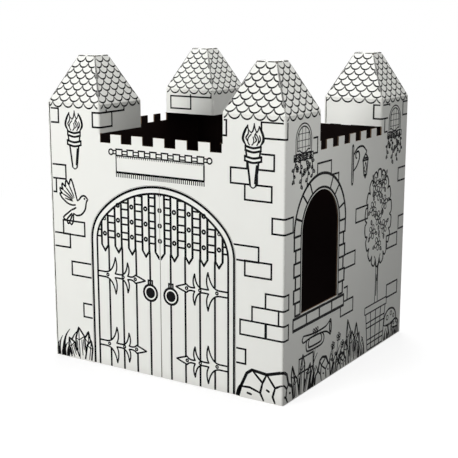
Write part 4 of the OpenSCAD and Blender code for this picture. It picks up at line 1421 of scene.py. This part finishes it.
def rose_tree(sheet, origin):
    """A tub with a small tree: a straight trunk and an oval crown full of flowers."""
    straights(sheet, TUB_LINES, PEN, EVEN, origin)
    drawn_shapes.append(placed((*TUB_LINES[0], *TUB_LINES[1]), origin))
    curves(sheet, TRUNK_LINES, PEN, FIRM, origin)
    middle = (origin[0], origin[1] + CROWN_MIDDLE)
    for i in range(CROWN_BUMPS):
        turns = [(math.tau * (i + share) / CROWN_BUMPS, out) for share, out in BUMP]
        bump_line = [(CROWN_WIDE * out * math.cos(a), CROWN_TALL * out * math.sin(a)) for a, out in turns]
        curves(sheet, (bump_line,), BOLD, FIRM, middle)
    for i, (x, y) in enumerate(ROSES):
        rose = (middle[0] + x, middle[1] + y)
        flower(sheet, rose, ROSE_SIZE, ROSE_TURN * i)
        for start in ROSE_LEAVES:
            turn = start + ROSE_LEAF_TURN * i
            leaf(sheet, spot((0, ROSE_LEAF_OUT), rose, 1, turn - 90), ROSE_LEAF_SIZE, turn)


print("the tree has", len(ROSES), "flowers")

# %% [markdown]
# Both side walls are cut and printed alike, so one function draws both, each with seeds of its own. Along the
# foot run the rock that comes round the corner, stones, toadstools, crystals, flowers and grass.

# %% Side drawing
PLANT_PLACES = ((54, 704), (686, 700))
PLANT_SEEDS = 10
BRACKET_PLACE = (416, 592)
BUGLE_PLACE = (108, 112)
TREE_PLACE = (628, 6)
SIDE_CRYSTALS = (
    (84, 26, 72, 10, 1), (112, 28, 120, -4, 1), (74, 24, 104, 12, -1), (138, 24, 84, -20, 1),
    (448, 38, 104, -2, 1), (420, 30, 84, 14, -1), (478, 32, 88, -14, -1), (432, 34, 150, 5, 1),
    (466, 30, 124, -8, 1),
)
# Place along the wall, height, size and lean
SIDE_BLOOMS = ((318, 92, 12, 8), (334, 112, 13, -4), (352, 84, 12, -14))
# Seed, left and right end, least and greatest height, pitch
SIDE_GRASS = (
    (1, 56, 196, 40, 84, 13), (2, 158, 216, 70, 124, 11), (3, 286, 420, 56, 112, 14),
    (4, 488, 560, 30, 70, 13), (6, 696, 828, 28, 60, 13),
)


def side_drawing(name, wall, seed):
    sheet = bmesh.new()
    window_stones(sheet)
    for i, place in enumerate(PLANT_PLACES):
        hanging_plant(sheet, seed + i * PLANT_SEEDS, place)
    bracket(sheet, BRACKET_PLACE)
    bugle(sheet, BUGLE_PLACE)
    rose_tree(sheet, TREE_PLACE)
    corner_rock(sheet, ROCK_SIDE, ROCK_SIDE_RIDGES)
    boulder(sheet, 196, wide=104, tall=76)
    boulder(sheet, 344, wide=66, tall=50)
    toadstool(sheet, 752, size=104, lean=3)
    toadstool(sheet, 792, size=56, lean=-4)
    crystals(sheet, SIDE_CRYSTALS)
    for x, height, size, lean in SIDE_BLOOMS:
        bloom(sheet, (x, GROUND), height, size, lean)
    for more, *row in SIDE_GRASS:
        grass(sheet, seed + more, *row)
    put_on_wall(name, sheet, wall)


side_drawing("right_pen_drawing", "right", 11)
side_drawing("left_pen_drawing", "left", 71)

# %% [markdown]
# ## Back wall
# The photograph doesn't show the back. It gets what the other walls have at their foot, and nothing new.

# %% Back drawing
BACK_CRYSTALS = ((124, 28, 88, 4, 1), (100, 24, 66, 16, -1), (150, 24, 72, -14, 1))


def back_drawing():
    sheet = bmesh.new()
    corner_rock(sheet, ROCK_FRONT, ROCK_FRONT_RIDGES)
    boulder(sheet, 330, wide=110, tall=74)
    crystals(sheet, BACK_CRYSTALS)
    grass(sheet, seed=91, left=12, right=340, low=34, high=90, pitch=13)
    grass(sheet, seed=92, left=420, right=740, low=34, high=84, pitch=13)
    put_on_wall("back_pen_drawing", sheet, "back")


back_drawing()

# %% [markdown]
# ## Corners and roofs
# The rock's lines go on round the folded corner. Each of them is one upright edge, as tall as the pen is
# broad, which spin turns a quarter round the middle of the fold. Solidify gives the curved strip the
# thickness of the ink. The rock at the opposite corner is a copy, turned half round.

# %% Rock round the folds
FOLD = 0.007
FOLD_STEPS = 8
FOLD_RIDGE_PEN = BOLD * 0.74
# Height on the fold and width
FOLD_LINES = ((100, ROCK_PEN), (61, FOLD_RIDGE_PEN))


def fold_drawing():
    sheet = bmesh.new()
    for z, width in FOLD_LINES:
        ends = [sheet.verts.new((HALF_W - FOLD, -HALF_D, (z + side * width / 2) * MM)) for side in (-1, 1)]
        bmesh.ops.spin(
            sheet, geom=[*ends, sheet.edges.new(ends)], cent=(HALF_W - FOLD, FOLD - HALF_D, 0),
            axis=(0, 0, 1), angle=math.pi / 2, steps=FOLD_STEPS,
        )
    bmesh.ops.recalc_face_normals(sheet, faces=sheet.faces)
    for face in sheet.faces:
        if face.normal.dot(Vector((1, -1, 0))) < 0:
            face.normal_flip()
    bmesh.ops.solidify(sheet, geom=sheet.faces[:], thickness=-DRAWN_INK * MM)
    twin = bmesh.ops.duplicate(sheet, geom=sheet.faces[:])["geom"]
    bmesh.ops.rotate(sheet, matrix=Matrix.Rotation(math.pi, 3, "Z"), verts=only(BMVert, twin))
    bmesh.ops.recalc_face_normals(sheet, faces=sheet.faces)
    keep_drawing("rock_fold_lines", sheet, "castle")


fold_drawing()

# %% [markdown]
# On the roofs a painted shadow, a dark line of ink, runs along each hip, where two flaps meet at a slit, and
# along the top edge, where the lid sits in its gap: the shade in these gaps is painted on. One flap is drawn
# flat, with the middle of its fold as origin, and copied onto all sixteen.

# %% Roof edges
# Painted shadow: dark ink lines where the hip slits and the lid gap are in shade
TOP_GAP_SHADOW_PEN = 2.8
HIP_SLIT_SHADOW_PEN = 1.4
EDGE_IN = 2.4
HIP_SHARES = (0.07, 0.36, 0.65, 0.94)
TOP_GAP_SHADOWS = ((-0.92, -0.12), (0.14, 0.96))


# Draws the painted shadow of the roof gaps, in the black print ink
def roof_gap_shadow_drawing():
    run, rise = (TOWER - ROOF_TOP) / 2, PEAK - EAVE
    slant = math.hypot(run, rise)
    flap = bmesh.new()
    foot, top, high = TOWER / 2 / MM, ROOF_TOP / 2 / MM, slant / MM
    for side in (-1, 1):
        hip = [(side * (foot + (top - foot) * share - EDGE_IN), high * share) for share in HIP_SHARES]
        pen_line(flap, placed(hip), HIP_SLIT_SHADOW_PEN, NEEDLE)
    for start, end in TOP_GAP_SHADOWS:
        line = [(top * share, high - EDGE_IN) for share in (start, (start + end) / 2, end)]
        pen_line(flap, placed(line), TOP_GAP_SHADOW_PEN, KEEN)
    thicken(flap)
    lean = Matrix((
        (1, 0, 0, 0), (0, run / slant, -rise / slant, -TOWER / 2), (0, rise / slant, run / slant, EAVE),
        (0, 0, 0, 1),
    ))
    roofs = bmesh.new()
    mesh = bpy.data.meshes.new("flap_painted_shadows")
    for side_x in (-1, 1):
        for side_y in (-1, 1):
            tower = Matrix.Translation((side_x * (HALF_W - TOWER / 2), side_y * (HALF_D - TOWER / 2), 0))
            for k in range(4):
                lines = flap.copy()
                stand = tower @ Matrix.Rotation(k * math.pi / 2, 4, "Z") @ lean @ Matrix.Scale(MM, 4)
                bmesh.ops.transform(lines, matrix=stand, verts=lines.verts)
                lines.to_mesh(mesh)
                lines.free()
                roofs.from_mesh(mesh)
    flap.free()
    bpy.data.meshes.remove(mesh)
    keep_drawing("roof_gap_painted_shadows", roofs, "castle")


roof_gap_shadow_drawing()

# %% [markdown]
# ## Sizes at the end
# Last, the box of the frame and the box of the dressed castle are put side by side in one dictionary.

# %% Sizes and finish
size = {
    "cad": [list(cad_low), list(cad_high)],
    "visual": [list(corner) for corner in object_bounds()],
}
scene.view_settings.view_transform = "Standard"
